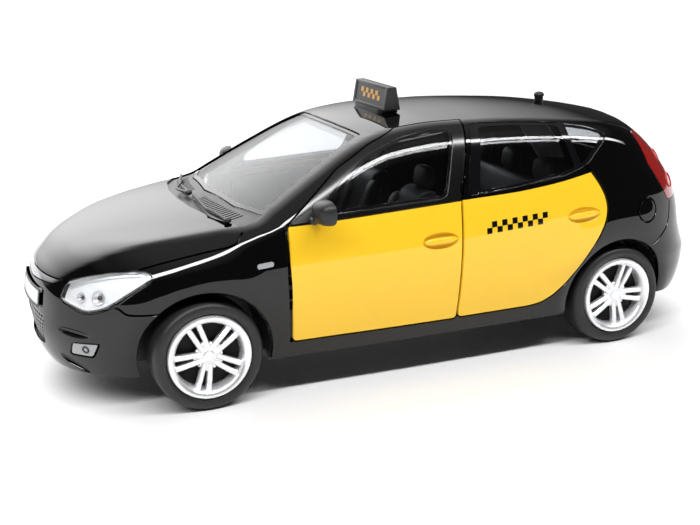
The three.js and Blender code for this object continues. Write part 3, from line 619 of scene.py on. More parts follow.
window = clear("window_glass", (0.8, 0.81, 0.82), 0.015, 0.85)
lamp_glass = clear("lamp_glass", (0.98, 0.985, 0.99))
red_glass = material("red_lens", (0.42, 0.012, 0.01), 0.12, Coat_Weight=1.0, Transmission_Weight=0.35, IOR=1.49)
bump(red_glass, noise(red_glass, 500, 1), 0.05, 1e-5)

# ---- Outlines, as in the CAD model: side views in (x, z) ----

DOOR = [
    (-22.2, 9.2), (6.3, 9.1), (6.7, 18.2), (7.3, 28.3), (9.3, 34.6), (11.6, 41.5), (3, 41.5), (-1, 39.7),
    (-6.2, 37.9), (-12.4, 34.8), (-22.2, 27.6), (-22.5, 20),
]
DOOR_TOP_Y = 14.3
DOOR_GLASS = [
    (-15.4, 28.6), (4.9, 29.3), (8.6, 39.2), (4.6, 39.3), (-0.7, 38.6), (-6.9, 36.5), (-11.8, 33.4), (-15.4, 30.7),
]
REAR_DOOR = [
    (7.7, 31.5), (7.45, 28.4), (6.85, 18.3), (6.45, 9.2), (20.2, 9.3), (22.4, 9.6), (24.6, 10.6), (27.2, 12.7),
    (29.2, 15), (31.2, 17.8), (33, 20.5), (34.2, 22.8), (34.7, 25), (34.3, 27.1), (33.2, 29.2), (31, 32.4),
]
REAR_GLASS = [
    (8.5, 29.3), (15.6, 29.8), (26.8, 31), (31.3, 32.4), (36.6, 36.8), (33.3, 38.1), (26.5, 39.2), (18.5, 39.7),
    (12, 39.8),
]
HEADLIGHT = [
    (-55.6, 17.4), (-52.4, 15.9), (-50, 16.7), (-46.4, 19.2), (-42.8, 21.4), (-43.4, 22.3), (-48.5, 21.9),
    (-52.2, 20.9), (-54.6, 19.6),
]
LAMP_Y = 11.7
FOG_LAMP = [(-54.6, 8.4), (-51.5, 8.4), (-50.7, 11.1), (-54.4, 10.8)]
TAIL_LAMP = [
    (48.7, 24.4), (52.6, 24.9), (53.4, 28.2), (50.6, 32.6), (46.2, 36.3), (42.4, 36.6), (43.8, 31.6), (46.8, 27.4),
]
TAIL_LAMP_Y = 17
REPEATER = [(-27.8, 21.7), (-25, 21.9), (-25, 22.8), (-27.8, 22.6)]
HEM = [(-65, -5), (65, -5), (65, 7.4), (28, 7), (-24, 6.8), (-45, 5.3), (-65, 5)]
# plan views in (x, y), right half
SCREEN_FOOT = [(-28.8, 0), (-27.5, 12), (-25, 18.8)]
SCREEN_HEAD = [(-6, 13.5), (-7, 6), (-7.3, 0)]
COWL_FRONT = [(-33.6, 0), (-33.2, 6.7), (-31.6, 14.4), (-28.7, 20.2)]
# end views in (y, z), right half
GRILLE = [(0, 18.3), (10.6, 19.3), (11.2, 20.2), (0, 20)]
INTAKE = [(0, 8.2), (6.5, 8.6), (8.6, 14.2), (0, 14.4)]
TAILGATE_GLASS = [(0, 27.8), (16.4, 28.4), (14, 35.6), (0, 36.6)]


def both(half, axis):
    """A whole outline from its right half; axis is the coordinate that changes sign."""
    half = [tuple(p) for p in half]
    flip = [tuple(-v if i == axis else v for i, v in enumerate(p)) for p in half[::-1] if p[axis] != 0]
    return half + flip


def side_block(points, side, near, far=40):
    """A side outline pushed from one distance from the car's middle out to another."""
    return prism(points, 1, *sorted((side * near, side * far)))


def stepped(points, corner, step):
    """A closed outline in short steps, its corners rounded if a radius is given."""
    return rounded(points, corner, step) if corner else resample(points, step, True)


def side_prism(points, side, near=2.0, far=40.0, corner=0.0, step=0.5):
    return side_block(stepped(points, corner, step), side, near, far)


def plan_prism(points, low=10.0, high=60.0, corner=0.0, step=0.5):
    return prism(stepped(points, corner, step), 2, low, high)


def end_prism(points, way, near=25.0, far=75.0, corner=0.0, step=0.4):
    return prism(stepped(points, corner, step), 0, *sorted((way * near, way * far)))


def inset(points, amount, corner=0.0, step=0.4):
    """A closed outline moved inwards by an amount."""
    points = stepped(points, corner, step)
    along = np.roll(points, -1, 0) - np.roll(points, 1, 0)
    along /= np.linalg.norm(along, axis=1)[:, None]
    area = np.sum(points[:, 0] * np.roll(points[:, 1], -1) - np.roll(points[:, 0], -1) * points[:, 1])
    inward = np.stack([-along[:, 1], along[:, 0]], 1) * (1 if area > 0 else -1)
    return points + inward * amount


# ---- Layers of the body, each the surface at an offset ----

_skins = {}


def layer(offset):
    if offset not in _skins:
        fine = offset >= -0.3
        _skins[offset] = skin(offset) if fine else skin(offset, 90, 30, 120)
    return _skins[offset].copy()


def slab(outer, inner, cutter):
    """The part of the body wall between two offsets that lies inside a cutter."""
    return boolean(boolean(cutter, layer(outer), "INTERSECT"), layer(inner))


def door_path(side):
    """The front door's shutline on the body surface: down both sides, and along the roof at a fixed width."""
    points = rounded(DOOR, 0.8, 0.35)
    path = on_side(points, side)
    over = (np.abs(path[:, 1]) < DOOR_TOP_Y) | (points[:, 1] > 41)
    top = on_top(np.stack([points[:, 0], np.full(len(points), side * DOOR_TOP_Y)], 1))
    path[over] = top[over]
    return resample(path, 0.35, True)


def bevel_edge(path, size=0.14):
    """A cutter that breaks the sharp edge of an opening whose outline on the surface is the path."""
    return sweep(path, [(size, 0), (0, size), (-size, 0), (0, -size)], True)


def belt_region(below):
    """Everything below, or above, the colour break along the doors."""
    line = smooth_path(BELT, 0.5)
    far = -10 if below else 60
    return prism([*line, (60, line[-1][1]), (60, far), (-40, far), (-40, line[0][1])], 1, -40, 40)


BELT = [(-24, 27.4), (-14.8, 27.7), (-3.6, 28.2), (7.3, 28.7), (20.6, 29.4), (27, 30.2), (31.3, 31), (36, 32)]

# ---- The body shell, with its doors cut out of the same wall ----


def ring_points(x, z, radius, count):
    """A circle seen from the side, (x, z)."""
    turn = turns(count)
    return np.stack([x + radius * np.cos(turn), z + radius * np.sin(turn)], 1)


def wheel_opening(x):
    return ring_points(x, AXLE_Z, ARCH_R, 96)


def scoop(place, side, long, high, deep, slope):
    """A shallow oval hollow in the bumper."""
    return place_on(ellipsoid(long, high, deep), on_side([place], side)[0], side, 0.05, slope)


OPENINGS = (
    # outline, distance from the car's middle where the cut begins, corner radius
    (REAR_GLASS, 14.5, 1.2), (HEADLIGHT, LAMP_Y, 0.8), (FOG_LAMP, 10, 0.4), (TAIL_LAMP, TAIL_LAMP_Y, 0.8),
)


def cut_shell():
    shell = boolean(boolean(layer(0), layer(-WALL)), prism(HEM, 1, -40, 40))
    for x in AXLE_X.values():
        for side in SIDES:
            shell = boolean(shell, side_block(wheel_opening(x), side, 12))
            shell = boolean(shell, bevel_edge(on_side(wheel_opening(x), side), 0.2))
    front_opening = both([*COWL_FRONT, SCREEN_FOOT[2], *SCREEN_HEAD], 1)
    shell = boolean(shell, plan_prism(front_opening, 23, 60, 0.8))
    shell = boolean(shell, end_prism(both(GRILLE, 0), -1, 45, 75, 0.3))
    shell = boolean(shell, end_prism(both(INTAKE, 0), -1, 45, 75, 1.0))
    shell = boolean(shell, end_prism(both(TAILGATE_GLASS, 0), 1, 30, 75, 1.5))
    for side in SIDES:
        for outline, near, corner in OPENINGS:
            shell = boolean(shell, side_prism(outline, side, near, 40, corner))
            shell = boolean(shell, bevel_edge(on_side(rounded(outline, corner, 0.4), side), 0.1))
        shell = boolean(shell, scoop((-54.3, 12.4), side, 3.6, 0.7, 0.6, 0.02))
        shell = boolean(shell, scoop((-53.9, 6.7), side, 3.4, 0.85, 0.7, 0.06))
    return shell


FUEL_FLAP = (43.1, 23.6, 2.05)  # x, z and radius, on the left side only


def rear_door_path(side):
    """The rear door's outline on the body surface."""
    return resample(on_side(rounded(REAR_DOOR, 0.9, 0.4), side), 0.4, True)


def seams():
    """Shallow lines for the panels that don't open."""
    lines = []
    hood = [(-57.2, 0), (-56.7, 6.5), (-54.4, 11.8), (-50, 15.8), (-45.3, 18.7), (-40.6, 20.2), (-35.7, 21.3),
            (-30.4, 22), (-28.9, 20.9)]
    lines.append(shallow(on_top(smooth_path([(x, -y) for x, y in hood[:0:-1]] + hood, 0.4))))
    gate = [(17.6, 38.4), (18.6, 33), (19.4, 27.6), (19, 22), (16.5, 17), (0, 16.6)]
    lines.append(shallow(on_end(smooth_path([(-y, z) for y, z in gate[:-1]] + gate[::-1], 0.4), 1)))
    lines.append(shallow(on_top(smooth_path([(46.6, -17.4), (47.4, 0), (46.6, 17.4)], 0.4))))
    for side in SIDES:
        front = [(-50.4, 16.6), (-48.5, 17.2), (-47, 16.2), (-45.2, 16.1), (-42.2, 16.1)]
        rear = [(44.6, 17), (46.5, 18.6), (48.4, 20.3), (49.2, 23.2), (49.3, 24.3)]
        for path in (front, rear):
            lines.append(shallow(on_side(smooth_path(path, 0.4), side)))
        lines.append(shallow(rear_door_path(side), half=0.08, depth=0.6, closed=True, lip=0.08))
    lines.append(shallow(on_side(ring_points(*FUEL_FLAP, 48), -1), closed=True))
    return lines


def rear_panel(side):
    """The yellow skin of a rear door, set flush in the body."""
    prism_here = side_prism(REAR_DOOR, side, 16, 40, 0.9, 0.4)
    panel = boolean(slab(0, -REAR_SKIN, prism_here), belt_region(True), "INTERSECT")
    panel = boolean(panel, shallow(rear_door_path(side), half=0.08, depth=0.7, closed=True, lip=0.08))
    return largest(panel)


# ---- Doors ----


def handle_recess(x, z, side, long=3.2, high=1.35, deep=0.6):
    """An oval hollow in the panel behind a door handle."""
    centre = on_side([(x, z)], side, 0.0)[0]
    return place_on(ellipsoid(long, high, deep), centre, side)


def ellipsoid(a, b, c, rows=20, cols=40):
    rings = []
    for i in range(1, rows):
        t = math.pi * i / rows
        turn = turns(cols)
        ring = [(a * math.sin(t) * math.cos(u), b * math.sin(t) * math.sin(u), c * math.cos(t)) for u in turn]
        rings.append(ring)
    return loft(rings)


def place_on(mesh, centre, side, out=0.0, tilt=0.0):
    """Moves a mesh made around the origin, facing +Z, on to the body's side at a point, its X towards the rear."""
    normal = Vector(gradient(centre[None])[0])
    along = Vector((1, 0, 0))
    along = (along - normal * along.dot(normal)).normalized()
    up = normal.cross(along)
    turn = Matrix((along, up, normal)).transposed().to_4x4()
    mesh.transform(Matrix.Translation(Vector(centre) + normal * out) @ turn @ Matrix.Rotation(tilt, 4, "Z"))
    return outward(mesh)


def handle_bar(x, z, side, slope):
    """A flat grip that stands clear of its recess and joins the panel at both ends."""
    centre = on_side([(x, z)], side)[0]
    rings = []
    for u in np.linspace(-1, 1, 33):
        wide = 0.42 * (1 - abs(u) ** 6) + 0.12
        lift = 0.5 - 0.42 * u * u
        turn = turns(16)
        rings.append([(2.9 * u, wide * math.cos(t), lift - 0.18 + 0.3 * math.sin(t)) for t in turn])
    return place_on(loft(rings), centre, side, 0, slope)


def clear_swing(door, shell, side):
    """Cuts from a door whatever would run into the fender as it opens."""
    near = boolean(shell, side_box((-28, -22.3), (15, 30), (3, 32), side), "INTERSECT")
    joint = HINGE[HAND[side]]
    pivot = Matrix.Translation(Vector(joint["pos_m"]) / MM)
    spare = Matrix.Translation((0.05, side * 0.02, 0))
    for angle in range(4, int(joint["range_deg"][1]) + 2, 3):
        turn = Matrix.Rotation(-math.radians(angle), 4, Vector(joint["axis"]))
        turned = near.copy()
        turned.transform(spare @ pivot @ turn @ pivot.inverted())
        door = boolean(door, turned)
    return largest(door)


def cad_mesh(name):
    """A copy of a CAD node's mesh in millimetres, its split corners joined up."""
    copy = bmesh.new()
    copy.from_mesh(frame["nodes"][name].data)
    bmesh.ops.remove_doubles(copy, verts=copy.verts, dist=1e-6)
    mesh = bpy.data.meshes.new(name)
    copy.to_mesh(mesh)
    copy.free()
    mesh.transform(Matrix.Scale(1 / MM, 4))
    return mesh


HINGE = {j["name"].split("_")[0]: j for j in frame["joints"] if "hinge" in j["name"]}
HINGE_GAP = [(-22.62, 9.1), (-22.1, 9.1), (-22.4, 20), (-22.1, 27.5), (-22.62, 27.7), (-22.95, 20)]
ARM_SPAN = ((-26, -19.9), (19, 23.6), (12.5, 20))  # where the CAD door is its two hinge arms
FRONT_HANDLE, REAR_HANDLE = (3.0, 22.8), (29.9, 24.2)
PANE = (-0.2, -0.9)  # the outside and inside of a side or tailgate pane

shell = cut_shell()
for line in seams():
    shell = boolean(shell, line)
doors = {}
for side in SIDES:
    shell = boolean(shell, through(door_path(side)))
    pocket = boolean(side_prism(REAR_DOOR, side, 16, 40, 0.9, 0.4), belt_region(True), "INTERSECT")
    shell = boolean(shell, boolean(pocket, layer(-REAR_SKIN)))
shell, *parts = sorted(islands(shell), key=size_of, reverse=True)
for part in parts:
    middle = middle_of(part)
    if -9 < middle[0] < -2 and size_of(part) > 500:
        doors[-1 if middle[1] < 0 else 1] = part
for side in SIDES:
    shell = boolean(shell, side_prism(HINGE_GAP, side, 15, 40, 0.1))
piece("body_shell", shell.copy(), paint, surface=(0, -WALL))

for side in SIDES:
    hand = HAND[side]
    body = f"{hand}_door"
    door = boolean(doors[side], side_prism(DOOR_GLASS, side, 15.0, 40, 1.2))
    door = boolean(door, bevel_edge(on_side(rounded(DOOR_GLASS, 1.2, 0.35), side), 0.1))
    seam = on_side(smooth_path(BELT, 0.4), side)
    door = boolean(door, sweep(seam, groove_profile(0.05, WALL + 0.4, 0.06), False))
    panel = boolean(door, belt_region(True), "INTERSECT")
    panel = boolean(clear_swing(largest(panel), shell, side), handle_recess(*FRONT_HANDLE, side))
    arms = boolean(cad_mesh(f"door_{hand}"), side_box(*ARM_SPAN, side), "INTERSECT")
    piece(f"door_hinge_arms_{hand}", arms, base_black, body, nodes=[f"door_{hand}"])
    top = largest(boolean(door, belt_region(False), "INTERSECT"))
    stands_for, both_faces = [f"door_{hand}"], (0, -WALL)
    piece(f"door_panel_{hand}", panel, yellow, body, nodes=stands_for, surface=both_faces)
    piece(f"door_window_frame_{hand}", top, frame_black, body, nodes=stands_for, surface=both_faces)
    piece(f"door_handle_{hand}", handle_bar(*FRONT_HANDLE, side, 0.03), yellow, body)
    pane = slab(*PANE, side_block(inset(DOOR_GLASS, 0.1, 1.2), side, 15.2))
    piece(f"door_glass_{hand}", pane, window, body, surface=PANE)
    rear = boolean(rear_panel(side), handle_recess(*REAR_HANDLE, side, deep=0.4))
    piece(f"rear_door_panel_{hand}", rear, yellow, nodes=["body_shell"], surface=(0, -REAR_SKIN))
    piece(f"rear_door_handle_{hand}", handle_bar(*REAR_HANDLE, side, 0.06), yellow)

# ---- Glazing ----

SCREEN_PANE = (-0.3, -1.1)


def border(outer, outline, side, name, body):
    """A dark printed frame on the outside of a side pane."""
    ring = boolean(side_block(outer, side, 14), side_prism(outline, side, 13, 41, 0.8))
    piece(name, slab(-0.14, -0.2, ring), black_print, body, surface=(-0.14, -0.2))


for side in SIDES:
    hand = HAND[side]
    outer = inset(REAR_GLASS, 0.08, 1.2)
    pane = slab(*PANE, side_block(outer, side, 14.5))
    piece(f"rear_side_glass_{hand}", pane, window, surface=PANE)
    clear_area = [
        (10.9, 29.9), (15.6, 30.1), (26.8, 31.5), (30.7, 32.7), (35.6, 36.7), (33, 37.6), (26.4, 38.7),
        (18.5, 39.1), (13.4, 39.2),
    ]
    border(outer, clear_area, side, f"rear_side_glass_print_{hand}", "body")
    bar = [(29.0, 31.2), (30.4, 31.5), (28.9, 38.7), (27.6, 38.9)]
    strip = slab(-0.13, -0.2, side_prism(bar, side, 14, 40))
    piece(f"quarter_bar_{hand}", strip, black_print, surface=(-0.13, -0.2))
    outer = inset(DOOR_GLASS, 0.06, 1.2)
    border(outer, inset(DOOR_GLASS, 0.42, 1.2), side, f"door_glass_seal_{hand}", f"{hand}_door")

screen = both([*SCREEN_FOOT, *SCREEN_HEAD], 1)
pane = slab(*SCREEN_PANE, plan_prism(inset(screen, 0.1, 0.8), 25, 60))
piece("windscreen", pane, window, surface=SCREEN_PANE)
seal = boolean(plan_prism(inset(screen, 0.08, 0.8), 25, 60), plan_prism(inset(screen, 0.75, 0.8), 24, 61))
piece("windscreen_seal", slab(-0.22, -0.3, seal), black_print, surface=(-0.22, -0.3))
hatch = both(TAILGATE_GLASS, 0)
pane = slab(*PANE, end_prism(inset(hatch, 0.1, 1.5), 1, 30))
piece("tailgate_glass", pane, window, surface=PANE)
seal = boolean(end_prism(inset(hatch, 0.08, 1.5), 1, 30), end_prism(inset(hatch, 1.2, 1.5), 1, 29, 76))
piece("tailgate_glass_print", slab(-0.12, -0.2, seal), black_print, surface=(-0.12, -0.2))

# ---- Cowl and wipers ----

cowl = both([*COWL_FRONT, *SCREEN_FOOT[::-1]], 1)
cowl_mesh = slab(-0.35, -1.1, plan_prism(inset(cowl, 0.06), 20, 60))
for y in np.arange(-16, 16.1, 0.8):
    if abs(y) > 3:
        x = -30.6 + (y / 19) ** 2 * 3.4
        vent = resample(on_top([(x - 1.2, y), (x + 0.9, y)]), 0.3, False)
        cowl_mesh = boolean(cowl_mesh, sweep(vent, slot_section(0.16, -0.75, 0.3), False))
piece("cowl_panel", cowl_mesh, dark_plastic, surface=(-0.35, -1.1))


def tube(path, radius, sides=12, flat=1.0):
    """A round rod along a path; a flat factor under one squashes its height."""
    path = np.asarray(path, float)
    along = np.gradient(path, axis=0)
    along /= np.linalg.norm(along, axis=1)[:, None]
    up = np.array([0, 0, 1.0])
    radii = np.broadcast_to(np.asarray(radius, float), (len(path),))
    rings = []
    for p, t, r in zip(path, along, radii):
        across = np.cross(t, up)
        across /= max(np.linalg.norm(across), 1e-9)
        over = np.cross(across, t)
        turn = turns(sides)
        rings.append([p + r * (math.cos(u) * across + flat * math.sin(u) * over) for u in turn])
    return loft(rings)


def join(*meshes):
    """Several meshes as one, without merging them."""
    verts, faces, base = [], [], 0
    for mesh in meshes:
        verts.append(points_of(mesh))
        faces += [[v + base for v in p.vertices] for p in mesh.polygons]
        base += len(mesh.vertices)
    return new_mesh(np.vstack(verts), faces)


WIPERS = {
    "left": [(-30.2, -17.6), (-31.6, -11), (-31.4, -2.4)],
    "right": [(-31.6, -0.4), (-31, 7), (-28.6, 15.6)],
}
for hand, route in WIPERS.items():
    blade = on_top(smooth_path(route, 0.4))
    rubber = tube(blade + [0, 0, 0.18], 0.16, 8)
    back = tube(blade + [0, 0, 0.5], 0.24, 8, 0.7)
    (x, y), (end_x, end_y) = route[:2]
    arm_route = smooth_path([(x, y), (x - 0.9, y + 4), (end_x - 0.1, end_y - 0.6)], 0.4)
    arm = on_top(arm_route) + np.linspace(0.45, 0.72, len(arm_route))[:, None] * [0, 0, 1]
    knuckle = ellipsoid(0.62, 0.62, 0.45, 10, 20)
    knuckle.transform(Matrix.Translation(Vector(arm[0])))
    wiper = join(rubber, back, tube(arm, np.linspace(0.36, 0.22, len(arm)), 10, 0.7), knuckle)
    piece(f"wiper_{hand}", wiper, dark_plastic)

# ---- Lamps ----


def disc(radius, depth, sides=40):
    turn = turns(sides)
    return prism(np.stack([radius * np.cos(turn), radius * np.sin(turn)], 1), 2, -depth, 0)


def lathe(profile, sides=64):
    """A closed (radius, height) outline turned around the Z axis."""
    turn = turns(sides)
    rings = [[(r * math.cos(u), r * math.sin(u), z) for r, z in profile] for u in turn]
    return loft(rings, capped=False)


def washer(inner, outer, low, high, sides=64):
    return lathe([(inner, high), (outer, high), (outer, low), (inner, low)], sides)


def bowl(radius, deep, thick=0.25):
    """A dished reflector facing +Z, its rim at z 0."""
    at = np.linspace(0.001, 1, 12)
    inner = [(radius * u, -deep * (1 - u * u)) for u in at]
    return lathe(inner + [(r, z - thick) for r, z in inner[::-1]], 48)


HEADLIGHT_BULBS = ((-50.9, 18.4, 1.0), (-53.2, 18.2, 0.7))


def shared_wall(outline, side, near, outer, inner, corner):
    return slab(outer, inner, side_block(inset(outline, 0.08, corner), side, near))


for side in SIDES:
    hand = HAND[side]
    lens = shared_wall(HEADLIGHT, side, LAMP_Y, 0.02, -0.4, 0.8)
    piece(f"headlight_lens_{hand}", lens, lamp_glass, surface=(0.02, -0.4))
    tub = slab(-0.45, -2.2, side_block(inset(HEADLIGHT, 0.1, 0.8), side, 11))
    tub = boolean(tub, slab(0.4, -0.95, side_block(inset(HEADLIGHT, 0.3, 0.8), side, 11.3)))
    for x, z, radius in HEADLIGHT_BULBS:
        tub = boolean(tub, place_on(disc(radius + 0.05, 2.5), on_side([(x, z)], side)[0], side))
    piece(f"headlight_housing_{hand}", tub, white_plastic, nodes=[f"headlight_reflector_{hand}"])
    lights = []
    dark = []
    for x, z, radius in HEADLIGHT_BULBS:
        centre = on_side([(x, z)], side)[0]
        lights.append(place_on(bowl(radius, 0.6), centre, side, -0.78))
        dark.append(place_on(ellipsoid(0.36 * radius, 0.36 * radius, 0.5, 10, 20), centre, side, -1.3))
        lights.append(place_on(washer(radius - 0.02, radius + 0.12, -0.5, 0), centre, side, -0.78))
    piece(f"headlight_bowls_{hand}", join(*lights), silver)
    piece(f"headlight_bulbs_{hand}", join(*dark), bulb_brown)
    brow_line = [(-54.2, 19.3), (-51.8, 20.5), (-48.4, 21.4), (-44.2, 21.9)]
    brow = on_side(smooth_path(brow_line, 0.3), side)
    ledge = sweep(brow, [(0.0, -1.3), (0.0, -0.6), (-0.3, -0.6), (-0.3, -1.3)], False)
    piece(f"headlight_ledge_{hand}", ledge, silver)
    lip_line = [(-55.2, 17.1), (-52.4, 15.75), (-49.9, 16.55), (-46.3, 19.05), (-43.2, 20.95)]
    lip_section = [(-0.05, 0.0), (0.05, 0.08), (0.16, 0.05), (0.2, -0.3), (-0.05, -0.3)]
    lip = sweep(on_side(smooth_path(lip_line, 0.3), side), lip_section, False)
    piece(f"headlight_lip_{hand}", lip, paint)

    pit = slab(-0.7, -1.5, side_block(inset(FOG_LAMP, -0.1, 0.4), side, 10))
    piece(f"fog_lamp_pocket_{hand}", pit, base_black)
    lamp = shared_wall(inset(FOG_LAMP, 0.18, 0.4), side, 10, -0.12, -0.75, 0.3)
    piece(f"fog_lamp_{hand}", lamp, fog_plastic, surface=(-0.12, -0.75))
    centre = on_side([(-52.7, 9.7)], side)[0]
    eye = place_on(washer(0.38, 0.62, -0.3, 0.02, 32), centre, side, -0.05)
    eye = join(eye, place_on(disc(0.38, 0.2), centre, side, -0.14))
    piece(f"fog_lamp_eye_{hand}", eye, dark_plastic)

    lens = shared_wall(TAIL_LAMP, side, TAIL_LAMP_Y, 0.05, -0.6, 0.8)
    piece(f"tail_lamp_{hand}", lens, red_glass, surface=(0.05, -0.6))
    tub = slab(-0.65, -1.3, side_block(inset(TAIL_LAMP, 0.1, 0.8), side, TAIL_LAMP_Y))
    piece(f"tail_lamp_backing_{hand}", tub, silver)
    for k, (x, z, radius) in enumerate(((49.9, 27.6, 1.35), (47.6, 32.2, 1.1))):
        centre = on_side([(x, z)], side)[0]
        ring = place_on(washer(radius - 0.2, radius, -0.2, 0.12, 40), centre, side)
        piece(f"tail_lamp_ring_{k}_{hand}", ring, red_print)

    blink = shared_wall(REPEATER, side, 20, 0.22, -0.4, 0.4)
    piece(f"side_repeater_{hand}", blink, fog_plastic, surface=(0.22,))

# ---- Grilles and plates ----

bar = both([(0, 18.5), (10.2, 19.4), (10.7, 19.95), (0, 19.75)], 0)
bar = slab(-0.05, -0.8, end_prism(inset(bar, 0, 0.2), -1, 45))
piece("upper_grille", bar, dark_chrome, surface=(-0.05, -0.8))
back = slab(-0.8, -1.5, end_prism(inset(both(GRILLE, 0), -0.1, 0.3), -1, 45))
piece("upper_grille_back", back, pit_black)
mesh_area = both(INTAKE, 0)
grid = slab(-0.5, -1.1, end_prism(inset(mesh_area, 0.06, 1.0), -1, 45))
holes = []
for row, z in enumerate(np.arange(8.9, 14.2, 0.72)):
    for y in np.arange(-8.4, 8.5, 1.1):
        middle = y + (0.55 if row % 2 else 0)
        holes.append(box((-75, middle - 0.38, z - 0.22), (-45, middle + 0.38, z + 0.22)))
grid = boolean(grid, join(*holes))
piece("lower_grille", grid, mesh_plastic, surface=(-0.5, -1.1))
back = slab(-1.2, -1.6, end_prism(inset(mesh_area, -0.2, 1.0), -1, 45))
piece("lower_grille_back", back, pit_black)
for name, way, low, high in (("front_plate", -1, 14.9, 17.9), ("rear_plate", 1, 19.4, 22.4)):
    outline = [(-7.2, low), (7.2, low), (7.2, high), (-7.2, high)]
    blank = end_prism(outline, way, 45, 75, 0.4)
    frame_ring = boolean(slab(0.45, 0.0, blank), end_prism(inset(outline, 0.35, 0.3), way, 40, 80))
    face = slab(0.35, 0.0, blank)
    piece(f"{name}_frame", frame_ring, dark_plastic, nodes=[name], surface=(0.45,))
    piece(name, face, plate_plastic, surface=(0.35,))

# ---- Wheels ----

TYRE_SECTION = [
    (6.62, 2.1), (6.7, 2.62), (6.95, 2.95), (7.4, 3.08), (7.9, 3.06), (8.25, 2.86), (8.5, 2.5), (8.63, 2.05),
    (8.69, 1.4), (TYRE_R, 0.5),
]


def make_tyre():
    section = [(r, z) for r, z in TYRE_SECTION] + [(r, -z) for r, z in TYRE_SECTION[::-1]]
    return lathe(section, 128)


RIM_SECTION = [
    (6.62, 2.62), (6.6, 3.02), (6.5, 3.2), (6.3, 3.26), (6.05, 3.24), (5.82, 3.1), (5.66, 2.98), (5.5, 2.8),
    (5.42, 2.6), (5.34, 2.4), (5.28, 2.2), (5.22, 1.9), (5.2, 0.4), (5.35, -1.6), (5.8, -2.6), (6.3, -2.8),
    (6.62, -2.5),
]


HUB_SECTION = [
    (0.001, 2.5), (0.75, 2.48), (0.9, 2.38), (0.95, 2.24), (1.75, 2.2), (1.95, 2.06), (2.0, 1.2), (0.001, 1.2),
]
WEB = [(0.9, -0.85), (2.2, -0.8), (2.5, 0), (2.2, 0.8), (0.9, 0.85)]  # joins two spokes to the hub, from the front


def spoke(angle, lean):
    """One bar from the hub to the rim, broad and flat-topped, a little narrower and lower towards the hub."""
    rings = []
    for u in np.linspace(0, 1, 14):
        r = 1.2 + 4.55 * u
        half = 0.38 + 0.06 * u + 1.1 * max(0, u - 0.88)
        top = 2.3 + 0.34 * math.sin(math.pi * min(u * 0.62 + 0.1, 1)) - 0.1 * u
        shift = 0.5 + 0.4 * u
        edge = [(half - 0.14, top), (half, top - 0.16), (half, top - 0.9)]
        profile = [(-y, z) for y, z in edge[::-1]] + edge
        rings.append([(r, lean * shift + y, z) for y, z in profile])
    mesh = loft(rings)
    mesh.transform(Matrix.Rotation(angle, 4, "Z"))
    return mesh


def make_rim(start):
    shapes = [lathe(RIM_SECTION, 128)]
    shapes.append(lathe(HUB_SECTION, 64))
    for k in range(5):
        angle = start + k * 2 * math.pi / 5
        shapes += [spoke(angle, -1), spoke(angle, 1)]
        nut = ellipsoid(0.3, 0.3, 0.34, 8, 18)
        nut.transform(Matrix.Rotation(angle + math.pi / 5, 4, "Z") @ Matrix.Translation((2.0, 0, 2.0)))
        shapes.append(nut)
        web = prism(rounded(WEB, 0.25), 2, 1.5, 2.14)
        web.transform(Matrix.Rotation(angle, 4, "Z"))
        shapes.append(web)
    return join(*shapes)


WHEEL_TURN = {"front": math.radians(42), "rear": math.radians(65)}
for end, x in AXLE_X.items():
    for side in SIDES:
        place = Matrix.Translation((x, side * TYRE_Y, AXLE_Z)) @ Matrix.Rotation(-side * math.pi / 2, 4, "X")
        body = f"{end}_wheels"
        hand = HAND[side]
        tyre = make_tyre()
        tyre.transform(place)
        piece(f"{end}_tyre_{hand}", tyre, tyre_rubber, body)
        rim = make_rim(WHEEL_TURN[end])
        rim.transform(place)
        piece(f"{end}_rim_{hand}", rim, wheel_metal, body, angle=30)
        backing = washer(0.001, 5.5, 0.6, 0.9)
        backing.transform(place)
        piece(f"{end}_rim_backing_{hand}", backing, pit_black, body)

# ---- Roof sign and aerial ----

SIGN_LOW, SIGN_HIGH = node_box("roof_sign")
SIGN_X = (SIGN_LOW[0] + SIGN_HIGH[0]) / 2
SIGN_Z = SIGN_LOW[2]
SIGN_TALL = SIGN_HIGH[2] - SIGN_Z


def soften(mesh, width, segments=3, angle=35):
    """Rounds a mesh's sharp edges."""
    holder = bpy.data.objects.new("holder", mesh)
    bpy.context.scene.collection.objects.link(holder)
    modifier = holder.modifiers.new("round", "BEVEL")
    modifier.width = width
    modifier.segments = segments
    modifier.limit_method = "ANGLE"
    modifier.angle_limit = math.radians(angle)
    result = bpy.data.meshes.new_from_object(holder.evaluated_get(bpy.context.evaluated_depsgraph_get()))
    bpy.data.objects.remove(holder)
    return result


def sign_section(grow, low=0.0, high=0.0):
    """The sign's wedge seen from its end, (x, z)."""
    bottom, top = SIGN_Z + low, SIGN_Z + SIGN_TALL - high
    low_half, high_half = (1.5 - 0.7 * (z - SIGN_Z) / SIGN_TALL + grow for z in (bottom, top))
    return [
        (SIGN_X - low_half, bottom), (SIGN_X + low_half, bottom), (SIGN_X + high_half, top), (SIGN_X - high_half, top),
    ]


core = prism(sign_section(-0.12, 0.1, 0.12), 1, -6.4, 6.4)
caps = [prism(sign_section(0), 1, *sorted((side * 5.9, side * 6.9))) for side in SIDES]
rails = [sign_section(0, 0, SIGN_TALL - 0.45), sign_section(0, SIGN_TALL - 0.4, 0)]
rails = [prism(section, 1, -6.0, 6.0) for section in rails]
sign = join(core, *[soften(c, 0.16) for c in caps], *[soften(r, 0.1) for r in rails])
piece("roof_sign", sign, sign_plastic, angle=30)
foot = [(SIGN_X + 1.9, 5.4), (SIGN_X - 1.9, 5.4)]
foot = plan_prism([(x, -y) for x, y in foot[::-1]] + foot, 38, SIGN_Z, 0.8)
piece("roof_sign_foot", boolean(foot, layer(0)), base_black)


